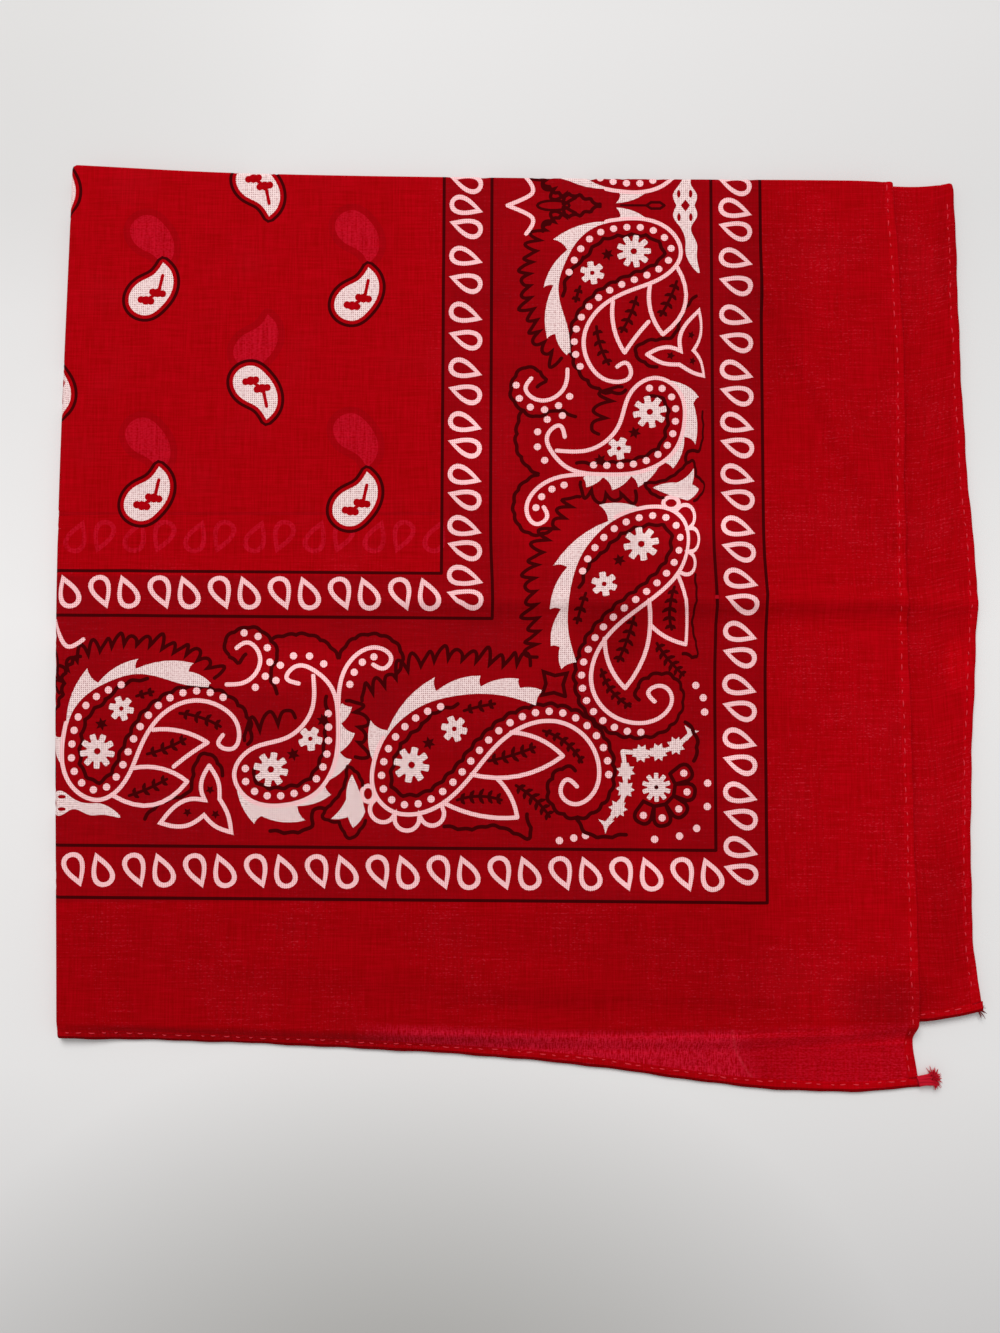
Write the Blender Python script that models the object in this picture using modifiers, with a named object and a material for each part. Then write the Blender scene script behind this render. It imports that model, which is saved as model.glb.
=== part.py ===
"""A square cotton bandana, folded in four and laid flat on a table.

The cloth is folded first along the back edge, with the far half going underneath, and then
along the left edge. From the top down the four layers are:

    1        top_layer, the quarter that shows, turned under at its left and back folds
    2, 3, 4  under_layers, one solid that parts into separate layers at its edges

Neither fold runs through the middle of the square, so layer 3 stands out past layer 1 on the
right, and layer 1 hangs over the others in front. A narrow double hem runs along every cut
edge, and the hem thread ends in a small frayed tuft at the front right corner.

Metres, +Z up, +X right, +Y to the back fold. The origin is under the middle of the folded cloth.
"""

import math
from collections import namedtuple

import bmesh
import bpy
import numpy as np
from mathutils import Vector

MM = 0.001

# ---- cloth and hems ------------------------------------------------------------------------
PLY = 1.0 * MM  # wall of one layer
SEAM = 0.3 * MM  # space between pieces that meet, and between layers
HEM_WIDTH = 3.2 * MM
HEM_RISE = 0.3 * MM  # how far a hem stands above its layer

# ---- heights: the middle of each layer's wall, and the radii of the folds between them -----
MID_4 = PLY / 2
MID_3 = MID_4 + PLY + SEAM
MID_2 = MID_3 + PLY + SEAM
MID_1 = MID_2 + PLY + SEAM
LEFT_BEND = (MID_1 - MID_4) / 2  # layer 1 turns under into layer 4
INNER_BEND = (MID_2 - MID_3) / 2  # layer 2 turns under into layer 3, inside the left fold
BACK_BEND = (MID_1 - MID_2) / 2  # layer 1 turns under into layer 2
LEFT_BEND_X = PLY / 2 + LEFT_BEND  # from the outside of a fold to the middle of its bend
BACK_BEND_Y = PLY / 2 + BACK_BEND

# ---- plan of the folded cloth, each edge from one end to the other -------------------------
EdgePoint = namedtuple("EdgePoint", "along across")  # mm, along the edge and across it

LEFT_FOLD = [  # along y, across x
    EdgePoint(-116.0, -138.3),
    EdgePoint(28.0, -141.6),
    EdgePoint(164.0, -139.7),
]
BACK_FOLD = [  # along x, across y
    EdgePoint(-140.0, 163.6),
    EdgePoint(-82.0, 160.7),
    EdgePoint(20.0, 159.0),
    EdgePoint(114.0, 158.3),
    EdgePoint(137.0, 157.1),
    EdgePoint(149.0, 157.6),
]
TOP_RIGHT_HEM = [  # along y, across x
    EdgePoint(-132.0, 131.4),
    EdgePoint(-119.0, 129.7),
    EdgePoint(-108.0, 130.3),
    EdgePoint(-42.0, 129.8),
    EdgePoint(53.0, 129.1),
    EdgePoint(88.0, 130.1),
    EdgePoint(118.0, 129.4),
    EdgePoint(158.0, 127.7),
]
TOP_FRONT_HEM = [  # along x, across y
    EdgePoint(-139.0, -116.2),
    EdgePoint(-50.0, -119.6),
    EdgePoint(19.0, -124.3),
    EdgePoint(75.0, -131.5),
    EdgePoint(109.0, -133.2),
    EdgePoint(131.0, -131.9),
]
UNDER_RIGHT_HEM = [  # along y, across x
    EdgePoint(-107.0, 150.9),
    EdgePoint(-83.0, 148.5),
    EdgePoint(-26.0, 149.8),
    EdgePoint(24.5, 152.8),
    EdgePoint(60.0, 150.6),
    EdgePoint(109.0, 149.1),
    EdgePoint(158.0, 148.6),
]
UNDER_FRONT_HEM = [  # along x, across y
    EdgePoint(-139.0, -110.0),
    EdgePoint(-20.0, -113.5),
    EdgePoint(70.0, -114.6),
    EdgePoint(131.0, -110.8),
    EdgePoint(151.0, -107.0),
]
LEFT_FOLD_X = -140.0 * MM  # about where each edge lies, to look up the edges that cross it
BACK_FOLD_Y = 160.0 * MM
TOP_HEM_X = 130.0 * MM
TOP_HEM_Y = -123.0 * MM
UNDER_HEM_X = 151.0 * MM
UNDER_HEM_Y = -107.0 * MM
TOP_WIDTH = TOP_HEM_X - LEFT_FOLD_X  # about the size of the top layer
TOP_DEPTH = BACK_FOLD_Y - TOP_HEM_Y

# ---- the edges of the layers in the under solid --------------------------------------------
LayerEdge = namedtuple("LayerEdge", "right_hem right front")  # an edge, and mm inside it
LAYER_EDGES = {
    2: LayerEdge(TOP_RIGHT_HEM, 1.2 * MM, 2.5 * MM),
    3: LayerEdge(UNDER_RIGHT_HEM, HEM_WIDTH + SEAM, HEM_WIDTH + SEAM),
    4: LayerEdge(UNDER_RIGHT_HEM, 1.0 * MM, 1.0 * MM),
}
SPLIT_DEPTH = 8.0 * MM  # how deep the layers stay apart before they share one solid
EDGE_ROUND = 0.25 * MM

Section = namedtuple("Section", "height layer inside")
UNDER_SECTIONS = [
    Section(0.0, 4, EDGE_ROUND),
    Section(EDGE_ROUND, 4, 0.0),
    Section(MID_4 + PLY / 2 - EDGE_ROUND, 4, 0.0),
    Section(MID_4 + PLY / 2, 4, EDGE_ROUND),
    Section(MID_4 + PLY / 2, 4, SPLIT_DEPTH),
    Section(MID_3 - PLY / 2, 3, SPLIT_DEPTH),
    Section(MID_3 - PLY / 2, 3, 0.0),
    Section(MID_3, 3, 0.0),
    Section(MID_3 + PLY / 2, 3, 0.0),
    Section(MID_3 + PLY / 2, 2, SPLIT_DEPTH),
    Section(MID_2 - PLY / 2, 2, SPLIT_DEPTH),
    Section(MID_2 - PLY / 2, 2, EDGE_ROUND),
    Section(MID_2 - PLY / 2 + EDGE_ROUND, 2, 0.0),
    Section(MID_2 + PLY / 2 - EDGE_ROUND, 2, 0.0),
    Section(MID_2 + PLY / 2, 2, EDGE_ROUND),
]

# ---- how the top layer comes down in front, past the layers under it -----------------------
DROP_LENGTH = 6.0 * MM
CORNER_KEEP = 0.5  # share of its height that the left fold still has at its front end
CORNER_REACH = 22.0 * MM  # how far from the left fold that lasts

# ---- creases left by packing, and soft swells ----------------------------------------------
Crease = namedtuple("Crease", "x0 y0 x1 y1 half_width height")  # mm, from one end to the other
TOP_CREASES = [
    Crease(-60.0, 19.0, 131.0, 18.0, 9.0, 0.8),
    Crease(75.0, -50.0, 77.0, -126.0, 8.0, 0.7),
    Crease(92.0, 118.0, 122.0, 52.0, 13.0, 0.7),
    Crease(118.0, -20.0, 120.0, -100.0, 9.0, 0.4),
    Crease(-112.0, 104.0, -122.0, -10.0, 13.0, 0.5),
    Crease(-70.0, -92.0, 20.0, -100.0, 10.0, 0.6),
    Crease(-20.0, 120.0, 34.0, 142.0, 13.0, 0.5),
]
UNDER_CREASE = Crease(110.0, 19.0, 153.0, 19.0, 9.0, 0.6)
FADE_SHARE = 0.3  # how far past its ends a crease fades out, as a share of its length
LEVEL_SHARE = 0.08  # the share of the top layer beside its folds that stays level

# ---- frayed tuft at the front right corner -------------------------------------------------
TUFT_FROM = (131.8, -129.4)  # mm in plan, where the twisted thread leaves the hem
TUFT_TO = (134.6, -128.6)
TUFT_THREAD = 2.4 * MM  # diameter of the twisted end
TUFT_LIFT = 0.05 * MM  # its space above the table
TUFT_STRANDS = 14
TUFT_SPREAD = math.radians(170)
TUFT_RISE = math.radians(16)
STRAND_LENGTH = 3.6 * MM
STRAND_WIDTH = 0.42 * MM
STRAND_ROOT = 0.6 * MM  # how deep a strand starts inside the twisted end

# ---- how finely the surfaces are divided ---------------------------------------------------
BEND_STEPS = 6
TOP_COLUMNS = 32
TOP_ROWS = 26
FRONT_ROWS = 12  # closer rows where the top layer comes down
FRONT_SHARE = 0.11
UNDER_STEPS = 36

RED_CLOTH = (0.45, 0.004, 0.010, 1.0)
RED_HEM = (0.38, 0.004, 0.010, 1.0)
RED_THREAD = (0.55, 0.010, 0.020, 1.0)


def clear_scene():
    for obj in list(bpy.data.objects):
        bpy.data.objects.remove(obj, do_unlink=True)


def make_material(name, colour, roughness):
    material = bpy.data.materials.new(name)
    material.use_nodes = True
    shader = material.node_tree.nodes["Principled BSDF"]
    shader.inputs["Base Color"].default_value = colour
    shader.inputs["Roughness"].default_value = roughness
    shader.inputs["Metallic"].default_value = 0.0
    return material


def smooth_step(value):
    value = min(1.0, max(0.0, value))
    return value * value * (3.0 - 2.0 * value)


def spread(first, last, count):
    """count even steps from first to last, with both ends."""
    return [first + (last - first) * i / count for i in range(count + 1)]


def edge_at(edge, along):
    """Where an edge runs, in metres, on a smooth curve through its rows (cubic Hermite)."""
    at = min(max(along / MM, edge[0].along), edge[-1].along)
    i = 0
    while i < len(edge) - 2 and at > edge[i + 1].along:
        i += 1

    def slope(k):
        low = edge[max(k - 1, 0)]
        high = edge[min(k + 1, len(edge) - 1)]
        return (high.across - low.across) / (high.along - low.along)

    a = edge[i]
    b = edge[i + 1]
    span = b.along - a.along
    t = (at - a.along) / span
    across = (
        a.across * (1 + 2 * t) * (1 - t) ** 2
        + b.across * t * t * (3 - 2 * t)
        + slope(i) * span * t * (1 - t) ** 2
        - slope(i + 1) * span * t * t * (1 - t)
    )
    return across * MM


def plan_centre():
    """The middle of the folded cloth's outline."""
    steps = spread(-0.14, 0.16, 300)
    left = min(edge_at(LEFT_FOLD, y) for y in steps)
    right = max(edge_at(UNDER_RIGHT_HEM, y) for y in steps)
    front = min(edge_at(TOP_FRONT_HEM, x) for x in steps)
    back = max(edge_at(BACK_FOLD, x) for x in steps)
    return Vector(((left + right) / 2, (front + back) / 2, 0.0))


def crease_height(crease, x, y):
    """A ridge on the line between the crease's ends, round across it and fading out past them."""
    start = np.array([crease.x0, crease.y0]) * MM
    along = np.array([crease.x1, crease.y1]) * MM - start
    length = np.linalg.norm(along)
    offset = np.array([x, y]) - start
    share = offset @ along / length**2
    away = abs(offset[0] * along[1] - offset[1] * along[0]) / length
    fade = smooth_step(share / FADE_SHARE + 1.0) * smooth_step((1.0 - share) / FADE_SHARE + 1.0)
    across = max(0.0, 1.0 - (away / (crease.half_width * MM)) ** 2) ** 2
    return crease.height * MM * fade * across


def drop_share(x, y):
    """1 where the layers below hold the top layer up, and 0 where it lies on the table in front."""
    held = smooth_step((y - edge_at(UNDER_FRONT_HEM, x) + SEAM) / DROP_LENGTH + 1.0)
    from_fold = x - edge_at(LEFT_FOLD, y)
    keep = CORNER_KEEP * (1.0 - smooth_step(from_fold / CORNER_REACH))
    return keep + (1.0 - keep) * held


def top_surface(u, v):
    """The middle of the top layer's wall.

    u runs from -1, under the left fold, through 0 on its top, to 1 at the right hem's edge.
    v runs from 0 at the front hem's edge to 1 where the back fold starts, and 2 under it.
    """
    x = LEFT_FOLD_X + max(u, 0.0) * TOP_WIDTH
    for _ in range(2):  # each edge is looked up where the other puts the point
        y_front = edge_at(TOP_FRONT_HEM, x)
        y_back = edge_at(BACK_FOLD, x) - BACK_BEND_Y
        y = y_front + (y_back - y_front) * min(v, 1.0)
        bend = LEFT_BEND * drop_share(x, y)
        x_left = edge_at(LEFT_FOLD, y) + PLY / 2 + bend
        x = x_left + (edge_at(TOP_RIGHT_HEM, y) - x_left) * max(u, 0.0)

    turn_back = max(v - 1.0, 0.0) * math.pi
    inward = BACK_BEND * (1.0 - math.cos(turn_back))
    if u < 0.0:
        turn_left = -u * math.pi
        radius = bend - inward
        x -= radius * math.sin(turn_left)
        z = MID_4 + bend + radius * math.cos(turn_left)
    else:
        share = drop_share(x, y)
        level = smooth_step(u / LEVEL_SHARE) * smooth_step((1.0 - v) / LEVEL_SHARE)
        raised = sum(crease_height(crease, x, y) for crease in TOP_CREASES)
        z = MID_4 + (MID_1 - MID_4) * share - inward + raised * level * share
    return Vector((x, y + BACK_BEND * math.sin(turn_back), z))


def top_normal(u, v):
    """Out of the visible side of the top layer, from small steps over its surface."""
    step = 1e-3
    across = top_surface(min(u + step, 1.0), v) - top_surface(max(u - step, -1.0), v)
    along = top_surface(u, min(v + step, 2.0)) - top_surface(u, max(v - step, 0.0))
    return across.cross(along).normalized()


def top_columns(last):
    """Values of u, round the left fold and then across to last."""
    return spread(-1.0, 0.0, BEND_STEPS)[:-1] + spread(0.0, last, TOP_COLUMNS)


def top_rows():
    """Values of v, from behind the front hem, closer at first, and then round the back fold."""
    first = (HEM_WIDTH + SEAM) / TOP_DEPTH
    rows = spread(first, FRONT_SHARE, FRONT_ROWS)[:-1]
    return rows + spread(FRONT_SHARE, 1.0, TOP_ROWS)[:-1] + spread(1.0, 2.0, BEND_STEPS)


def finish(obj, material, collection):
    """Puts an object in the collection, centred on the plan, with its material and smooth shading."""
    for other in list(obj.users_collection):
        other.objects.unlink(obj)
    collection.objects.link(obj)
    obj.location = -plan_centre()
    obj.data.materials.append(material)
    obj.data.shade_smooth()
    obj.data.set_sharp_from_angle(angle=math.radians(40))
    return obj


def loft(name, rings, material, collection):
    """One closed body through rings of equally many points, with a flat face on each end ring."""
    mesh = bpy.data.meshes.new(name)
    work = bmesh.new()
    loops = [[work.verts.new(point) for point in ring] for ring in rings]
    for lower, upper in zip(loops, loops[1:]):
        for i in range(len(lower)):
            j = (i + 1) % len(lower)
            work.faces.new((lower[i], lower[j], upper[j], upper[i]))
    work.faces.new(reversed(loops[0]))
    work.faces.new(loops[-1])
    bmesh.ops.recalc_face_normals(work, faces=work.faces)
    work.to_mesh(mesh)
    work.free()
    return finish(bpy.data.objects.new(name, mesh), material, collection)


def make_top_layer(material, collection):
    """A grid bent to the middle of the top layer's wall, which Solidify then makes."""
    columns = top_columns(1.0 - (HEM_WIDTH + SEAM) / TOP_WIDTH)
    rows = top_rows()
    last_column = len(columns) - 1
    last_row = len(rows) - 1
    bpy.ops.mesh.primitive_grid_add(x_subdivisions=last_column, y_subdivisions=last_row, size=2.0)
    obj = bpy.context.object
    obj.name = "top_layer"
    for vertex in obj.data.vertices:
        u = columns[round((vertex.co.x + 1.0) / 2.0 * last_column)]
        v = rows[round((vertex.co.y + 1.0) / 2.0 * last_row)]
        vertex.co = top_surface(u, v)
    wall = obj.modifiers.new("wall", "SOLIDIFY")
    wall.thickness = PLY
    wall.offset = 0.0
    wall.use_even_offset = True
    return finish(obj, material, collection)


def hem_section(lift):
    """Points round a hem: the share of its width, and the distance out of the cloth's middle."""
    low = -PLY / 2
    lower_edge = low + 0.35 * (lift - low)
    upper_edge = low + 0.65 * (lift - low)
    return [
        (0.00, lower_edge),
        (0.10, low),
        (0.90, low),
        (1.00, lower_edge),
        (1.00, upper_edge),
        (0.86, lift),
        (0.14, lift),
        (0.00, upper_edge),
    ]


def top_hem_lift(u, v):
    """A hem stands proud of the flat cloth, and is pressed flush where it goes round a fold."""
    flat = smooth_step(u / LEVEL_SHARE) * smooth_step((1.0 - v) / LEVEL_SHARE)
    return PLY / 2 + HEM_RISE * flat


def make_top_hem(name, stations, place, material, collection):
    """A hem on the top layer: place(station, share of its width) is its u and v."""
    rings = []
    for station in stations:
        ring = []
        for share, out in hem_section(top_hem_lift(*place(station, 0.5))):
            u, v = place(station, share)
            ring.append(top_surface(u, v) + top_normal(u, v) * out)
        rings.append(ring)
    return loft(name, rings, material, collection)


def make_top_front_hem(material, collection):
    def place(u, share):
        return u, share * HEM_WIDTH / TOP_DEPTH

    return make_top_hem("top_front_hem", top_columns(1.0), place, material, collection)


def make_top_side_hem(material, collection):
    def place(v, share):
        return 1.0 - share * HEM_WIDTH / TOP_WIDTH, v

    return make_top_hem("top_side_hem", top_rows(), place, material, collection)


def under_relief(x, y):
    return crease_height(UNDER_CREASE, x, y)


def make_under_hem(name, stations, place, material, collection):
    """A hem on layer 3: place(station, share of its width) is its plan.

    It stands proud of the cloth past the top layer, and is pressed flush where layer 2 lies on it.
    """
    rings = []
    for station in stations:
        x, y = place(station, 0.5)
        past = (x - edge_at(TOP_RIGHT_HEM, y)) / HEM_WIDTH
        ring = []
        for share, out in hem_section(PLY / 2 + HEM_RISE * smooth_step(past)):
            x, y = place(station, share)
            ring.append(Vector((x, y, MID_3 + out + under_relief(x, y))))
        rings.append(ring)
    return loft(name, rings, material, collection)


def make_under_side_hem(material, collection):
    def place(y, share):
        return edge_at(UNDER_RIGHT_HEM, y) - share * HEM_WIDTH, y

    first = edge_at(UNDER_FRONT_HEM, UNDER_HEM_X) + HEM_WIDTH + SEAM
    last = edge_at(BACK_FOLD, UNDER_HEM_X) - MID_3 - SEAM
    stations = spread(first, last, UNDER_STEPS)
    return make_under_hem("under_side_hem", stations, place, material, collection)


def make_under_front_hem(material, collection):
    def place(x, share):
        return x, edge_at(UNDER_FRONT_HEM, x) + share * HEM_WIDTH

    first = edge_at(LEFT_FOLD, UNDER_HEM_Y) + PLY + 2 * LEFT_BEND
    last = edge_at(UNDER_RIGHT_HEM, UNDER_HEM_Y)
    stations = spread(first, last, UNDER_STEPS)
    return make_under_hem("under_front_hem", stations, place, material, collection)


def fold_reach(height, middle, radius):
    """How far a half-round fold stands out from the middle of its bend at a height."""
    rise = min(abs(height - middle), radius)
    return math.sqrt(radius**2 - rise**2)


def under_ring(section):
    """One level outline of the under layers, in plan: front, right, back and then left."""
    z = section.height
    edges = LAYER_EDGES[section.layer]
    inner_reach = fold_reach(z, MID_4 + LEFT_BEND, INNER_BEND + PLY / 2)
    lower_radius = (MID_3 + PLY / 2) / 2
    lower_reach = fold_reach(z, lower_radius, lower_radius)

    def left(y):
        if section.layer == 4:
            return edge_at(LEFT_FOLD, y) + LEFT_BEND_X + SEAM
        return edge_at(LEFT_FOLD, y) + LEFT_BEND_X - inner_reach

    def front(x):
        return edge_at(UNDER_FRONT_HEM, x) + edges.front + section.inside

    def right(y):
        return edge_at(edges.right_hem, y) - edges.right - section.inside

    def back(x):
        if section.layer == 2:
            return edge_at(BACK_FOLD, x) - BACK_BEND_Y - 2 * SEAM
        return edge_at(BACK_FOLD, x) - lower_radius + lower_reach

    front_left = front(LEFT_FOLD_X)
    corner_x = right(front(UNDER_HEM_X))
    back_right = back(right(BACK_FOLD_Y))
    notch_x = edge_at(LEFT_FOLD, BACK_FOLD_Y) + LEFT_BEND_X + SEAM  # clear of the top layer's turn
    notch_y = edge_at(BACK_FOLD, LEFT_FOLD_X) - 2 * BACK_BEND_Y - 2 * SEAM
    plan = [(x, front(x)) for x in spread(left(front_left), corner_x, UNDER_STEPS)]
    plan += [(right(y), y) for y in spread(front(corner_x), back_right, UNDER_STEPS)[1:]]
    plan += [(x, back(x)) for x in spread(right(back_right), notch_x, UNDER_STEPS)[1:]]
    plan += [(notch_x, (notch_y + back(notch_x)) / 2)]
    plan += [(left(y), y) for y in spread(notch_y, front_left, UNDER_STEPS)[:-1]]
    raised = section.layer == 3
    return [Vector((x, y, z + under_relief(x, y) * raised)) for x, y in plan]


def make_under_layers(material, collection):
    """Layers 2, 3 and 4: the outlines climb the edge of each layer, and go in between them."""
    rings = [under_ring(section) for section in UNDER_SECTIONS]
    return loft("under_layers", rings, material, collection)


def make_strand(name, root, heading, length):
    """One fibre of the tuft: a thin tapered cone from its root, used to build the union."""
    bpy.ops.mesh.primitive_cone_add(
        vertices=4, radius1=STRAND_WIDTH / 2, radius2=STRAND_WIDTH / 5, depth=length
    )
    strand = bpy.context.object
    strand.name = name
    strand.data.transform(heading.to_track_quat("Z", "Y").to_matrix().to_4x4())
    for vertex in strand.data.vertices:
        vertex.co += root + heading * length / 2
    strand.location = -plan_centre()
    strand.hide_render = True
    strand.display_type = "WIRE"
    return strand


def make_corner_tuft(material, collection, helpers):
    """The twisted end of the hem thread, with its fibres fanned out, fused into one body."""
    lift = Vector((0.0, 0.0, TUFT_THREAD / 2 + TUFT_LIFT))
    start = Vector((*TUFT_FROM, 0.0)) * MM + lift
    end = Vector((*TUFT_TO, 0.0)) * MM + lift
    forward = (end - start).normalized()
    sideways = Vector((-forward.y, forward.x, 0.0))
    bpy.ops.mesh.primitive_cylinder_add(
        vertices=10, radius=TUFT_THREAD / 2, depth=(end - start).length
    )
    obj = bpy.context.object
    obj.name = "corner_tuft"
    obj.data.transform(forward.to_track_quat("Z", "Y").to_matrix().to_4x4())
    for vertex in obj.data.vertices:
        vertex.co += (start + end) / 2

    for i in range(TUFT_STRANDS):
        share = i / (TUFT_STRANDS - 1) - 0.5
        angle = share * TUFT_SPREAD
        rise = TUFT_RISE * math.sin(i * 2.4)
        level = forward * math.cos(angle) + sideways * math.sin(angle)
        heading = level * math.cos(rise) + Vector((0.0, 0.0, math.sin(rise)))
        length = STRAND_LENGTH * (0.8 + 0.2 * math.cos(i * 1.9))
        root = end - forward * STRAND_ROOT + sideways * share * 0.5 * TUFT_THREAD
        strand = make_strand(f"strand_{i:02d}", root, heading, length)
        helpers.objects.link(strand)
        join = obj.modifiers.new(strand.name, "BOOLEAN")
        join.operation = "UNION"
        join.object = strand
    return finish(obj, material, collection)


def main():
    clear_scene()
    collection = bpy.data.collections.new("folded_bandana")
    helpers = bpy.data.collections.new("strands_to_join")
    bpy.context.scene.collection.children.link(collection)
    bpy.context.scene.collection.children.link(helpers)
    cloth = make_material("cloth", RED_CLOTH, 0.85)
    hem = make_material("hem", RED_HEM, 0.85)
    thread = make_material("thread", RED_THREAD, 0.8)
    make_top_layer(cloth, collection)
    make_under_layers(cloth, collection)
    make_top_front_hem(hem, collection)
    make_top_side_hem(hem, collection)
    make_under_side_hem(hem, collection)
    make_under_front_hem(hem, collection)
    make_corner_tuft(thread, collection, helpers)


main()
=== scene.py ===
import math

import bpy
import numpy as np
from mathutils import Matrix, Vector
from mathutils.geometry import delaunay_2d_cdt


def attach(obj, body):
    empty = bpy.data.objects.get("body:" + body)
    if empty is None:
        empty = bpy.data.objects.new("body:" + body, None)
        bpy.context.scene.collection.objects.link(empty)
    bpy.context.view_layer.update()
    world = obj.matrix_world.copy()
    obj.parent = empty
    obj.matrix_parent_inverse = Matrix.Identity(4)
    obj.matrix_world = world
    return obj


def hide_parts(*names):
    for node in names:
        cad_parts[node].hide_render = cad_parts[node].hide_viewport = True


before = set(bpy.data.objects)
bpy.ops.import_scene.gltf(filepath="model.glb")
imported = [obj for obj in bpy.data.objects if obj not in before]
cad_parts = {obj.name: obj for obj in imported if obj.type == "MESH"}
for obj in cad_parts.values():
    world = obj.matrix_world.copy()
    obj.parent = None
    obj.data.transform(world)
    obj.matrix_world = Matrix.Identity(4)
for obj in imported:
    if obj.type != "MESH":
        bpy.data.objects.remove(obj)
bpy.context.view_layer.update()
print("frame loaded:", len(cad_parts), "solids")

# All sizes are in millimetres until a mesh is made.
# A point of the unfolded square is (p, q): on the top layer that is its place to the right and to
# the back. The print is laid out as (a, b), right and down from the middle of the square.
mm = 0.001

# The folded form.

fold = {
    "leftBend": 2.45,  # radius of the left fold, outside the cloth
    "backBend": 1.15,  # radius of each back fold
    "stack": 4.9,  # height of the top layer over the others
    "table": 1.0,  # and where it lies on the table in front
    "dropLength": 6.0,  # how long the step down to the table is
    "cornerKeep": 0.5,  # share of the height that the left fold keeps in front
    "cornerReach": 22.0,  # and how far from the fold it is lost
    "cloth": 0.5,  # thickness of the cloth
    "levelBeside": 22.0,  # how far from the folds the creases fade out
    "creaseLift": 1.3,  # raises or lowers all creases of the top layer
    "leftLineAt": -138.5,  # where the back fold's line goes round the left fold
    "corner": -142.0,  # and its outermost place there
    "stripFrom": 127.0,  # where the third layer's strip starts to show
}

edges = {  # (along, across), from one end to the other
    "leftFold": [(-116.0, -138.3), (28.0, -141.6), (164.0, -139.7)],
    "backFold": [(-140.0, 163.6), (-82.0, 160.7), (20.0, 159.0), (114.0, 158.3), (131.0, 157.6),
                 (138.0, 157.8), (149.0, 159.2)],
    "topRight": [(-132.0, 131.4), (-119.0, 129.7), (-108.0, 130.3), (-42.0, 129.8), (53.0, 129.1),
                 (88.0, 130.1), (118.0, 129.4), (158.0, 127.7)],
    "topFront": [(-139.0, -116.2), (-50.0, -119.6), (19.0, -124.3), (75.0, -131.5),
                 (109.0, -133.2), (131.0, -131.9)],
    "underRight": [(-107.0, 150.9), (-83.0, 148.5), (-26.0, 149.8), (24.5, 152.8), (60.0, 150.6),
                   (109.0, 149.1), (158.0, 148.6)],
    "underFront": [(-139.0, -110.0), (-20.0, -113.5), (70.0, -114.6), (131.0, -110.8),
                   (151.0, -107.0)],
}
edges = {name: np.array(rows) for name, rows in edges.items()}

creases = np.array([  # x0, y0, x1, y1, half width, height
    (-20.0, 20.6, 131.0, 20.8, 4.2, 0.8),
    (-80.0, 24.0, 131.0, 24.0, 13.0, 0.6),
    (10.0, 12.0, 131.0, 13.5, 6.0, -0.4),
    (86.0, 119.0, 112.0, 66.0, 5.0, 0.75),
    (75.0, -50.0, 77.0, -126.0, 5.0, 0.45),
    (92.0, 118.0, 122.0, 52.0, 9.0, 1.2),
    (118.0, -20.0, 120.0, -100.0, 9.0, 0.4),
    (-112.0, 104.0, -122.0, -10.0, 13.0, 0.5),
    (-70.0, -92.0, 20.0, -100.0, 10.0, 0.6),
    (0.0, -106.0, 74.0, -108.0, 6.0, -0.5),
    (-20.0, 120.0, 34.0, 142.0, 13.0, 0.5),
])
underCreases = np.array([  # the same, on the third layer's strip
    (110.0, 20.8, 153.0, 20.0, 4.6, 0.9),
    (120.0, 12.0, 153.0, 11.0, 5.0, -0.4),
])


def smooth(value):  # 0 below 0, 1 above 1, and a soft step between
    value = np.clip(value, 0.0, 1.0)
    return value * value * (3.0 - 2.0 * value)


def along(name, at):
    # Cubic Hermite curve through an edge's rows, each slope taken from the rows beside it.
    x, y = edges[name].T
    k = np.arange(len(x))
    low, high = np.maximum(k - 1, 0), np.minimum(k + 1, len(x) - 1)
    slope = (y[high] - y[low]) / (x[high] - x[low])
    at = np.clip(at, x[0], x[-1])
    i = np.clip(np.searchsorted(x, at, side="left") - 1, 0, len(x) - 2)
    span = x[i + 1] - x[i]
    t = (at - x[i]) / span
    return (y[i] * (1 + 2 * t) * (1 - t) ** 2 + y[i + 1] * t * t * (3 - 2 * t)
            + slope[i] * span * t * (1 - t) ** 2 - slope[i + 1] * span * t * t * (1 - t))


# The object's origin is on the table under the middle of the folded outline.
samples = np.linspace(-140.0, 160.0, 301)
planCentre = np.array([
    (along("leftFold", samples).min() + along("underRight", samples).max()) / 2,
    (along("topFront", samples).min() + along("backFold", samples).max()) / 2,
    0.0,
])


def creaseHeight(rows, x, y):
    # Sum of ridges: (1 - (distance / half width)^2)^2 across, faded out past both ends.
    total = np.zeros(np.shape(x))
    for x0, y0, x1, y1, halfWidth, height in rows:
        dx, dy = x1 - x0, y1 - y0
        length = math.hypot(dx, dy)
        share = ((x - x0) * dx + (y - y0) * dy) / length**2
        away = ((x - x0) * dy - (y - y0) * dx) / length
        fade = smooth(share / 0.3 + 1.0) * smooth((1.0 - share) / 0.3 + 1.0)
        total += height * fade * np.maximum(0.0, 1.0 - (away / halfWidth) ** 2) ** 2
    return total


def dropShare(x, y, fromFold):
    # 1 where the layers below hold the top one up, 0 where it lies on the table in front.
    held = smooth((y - along("underFront", x) + 0.3) / fold["dropLength"] + 1.0)
    keep = fold["cornerKeep"] * (1.0 - smooth(fromFold / fold["cornerReach"]))
    return keep + (1.0 - keep) * held


def leftLine(y):
    # Where the left fold starts to turn, and its radius, at a depth y of the folded cloth.
    share = dropShare(fold["leftLineAt"] - 0.5, y, 0.0)
    radius = (fold["table"] + (fold["stack"] - fold["table"]) * share) / 2
    return along("leftFold", y) + radius, radius


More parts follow.
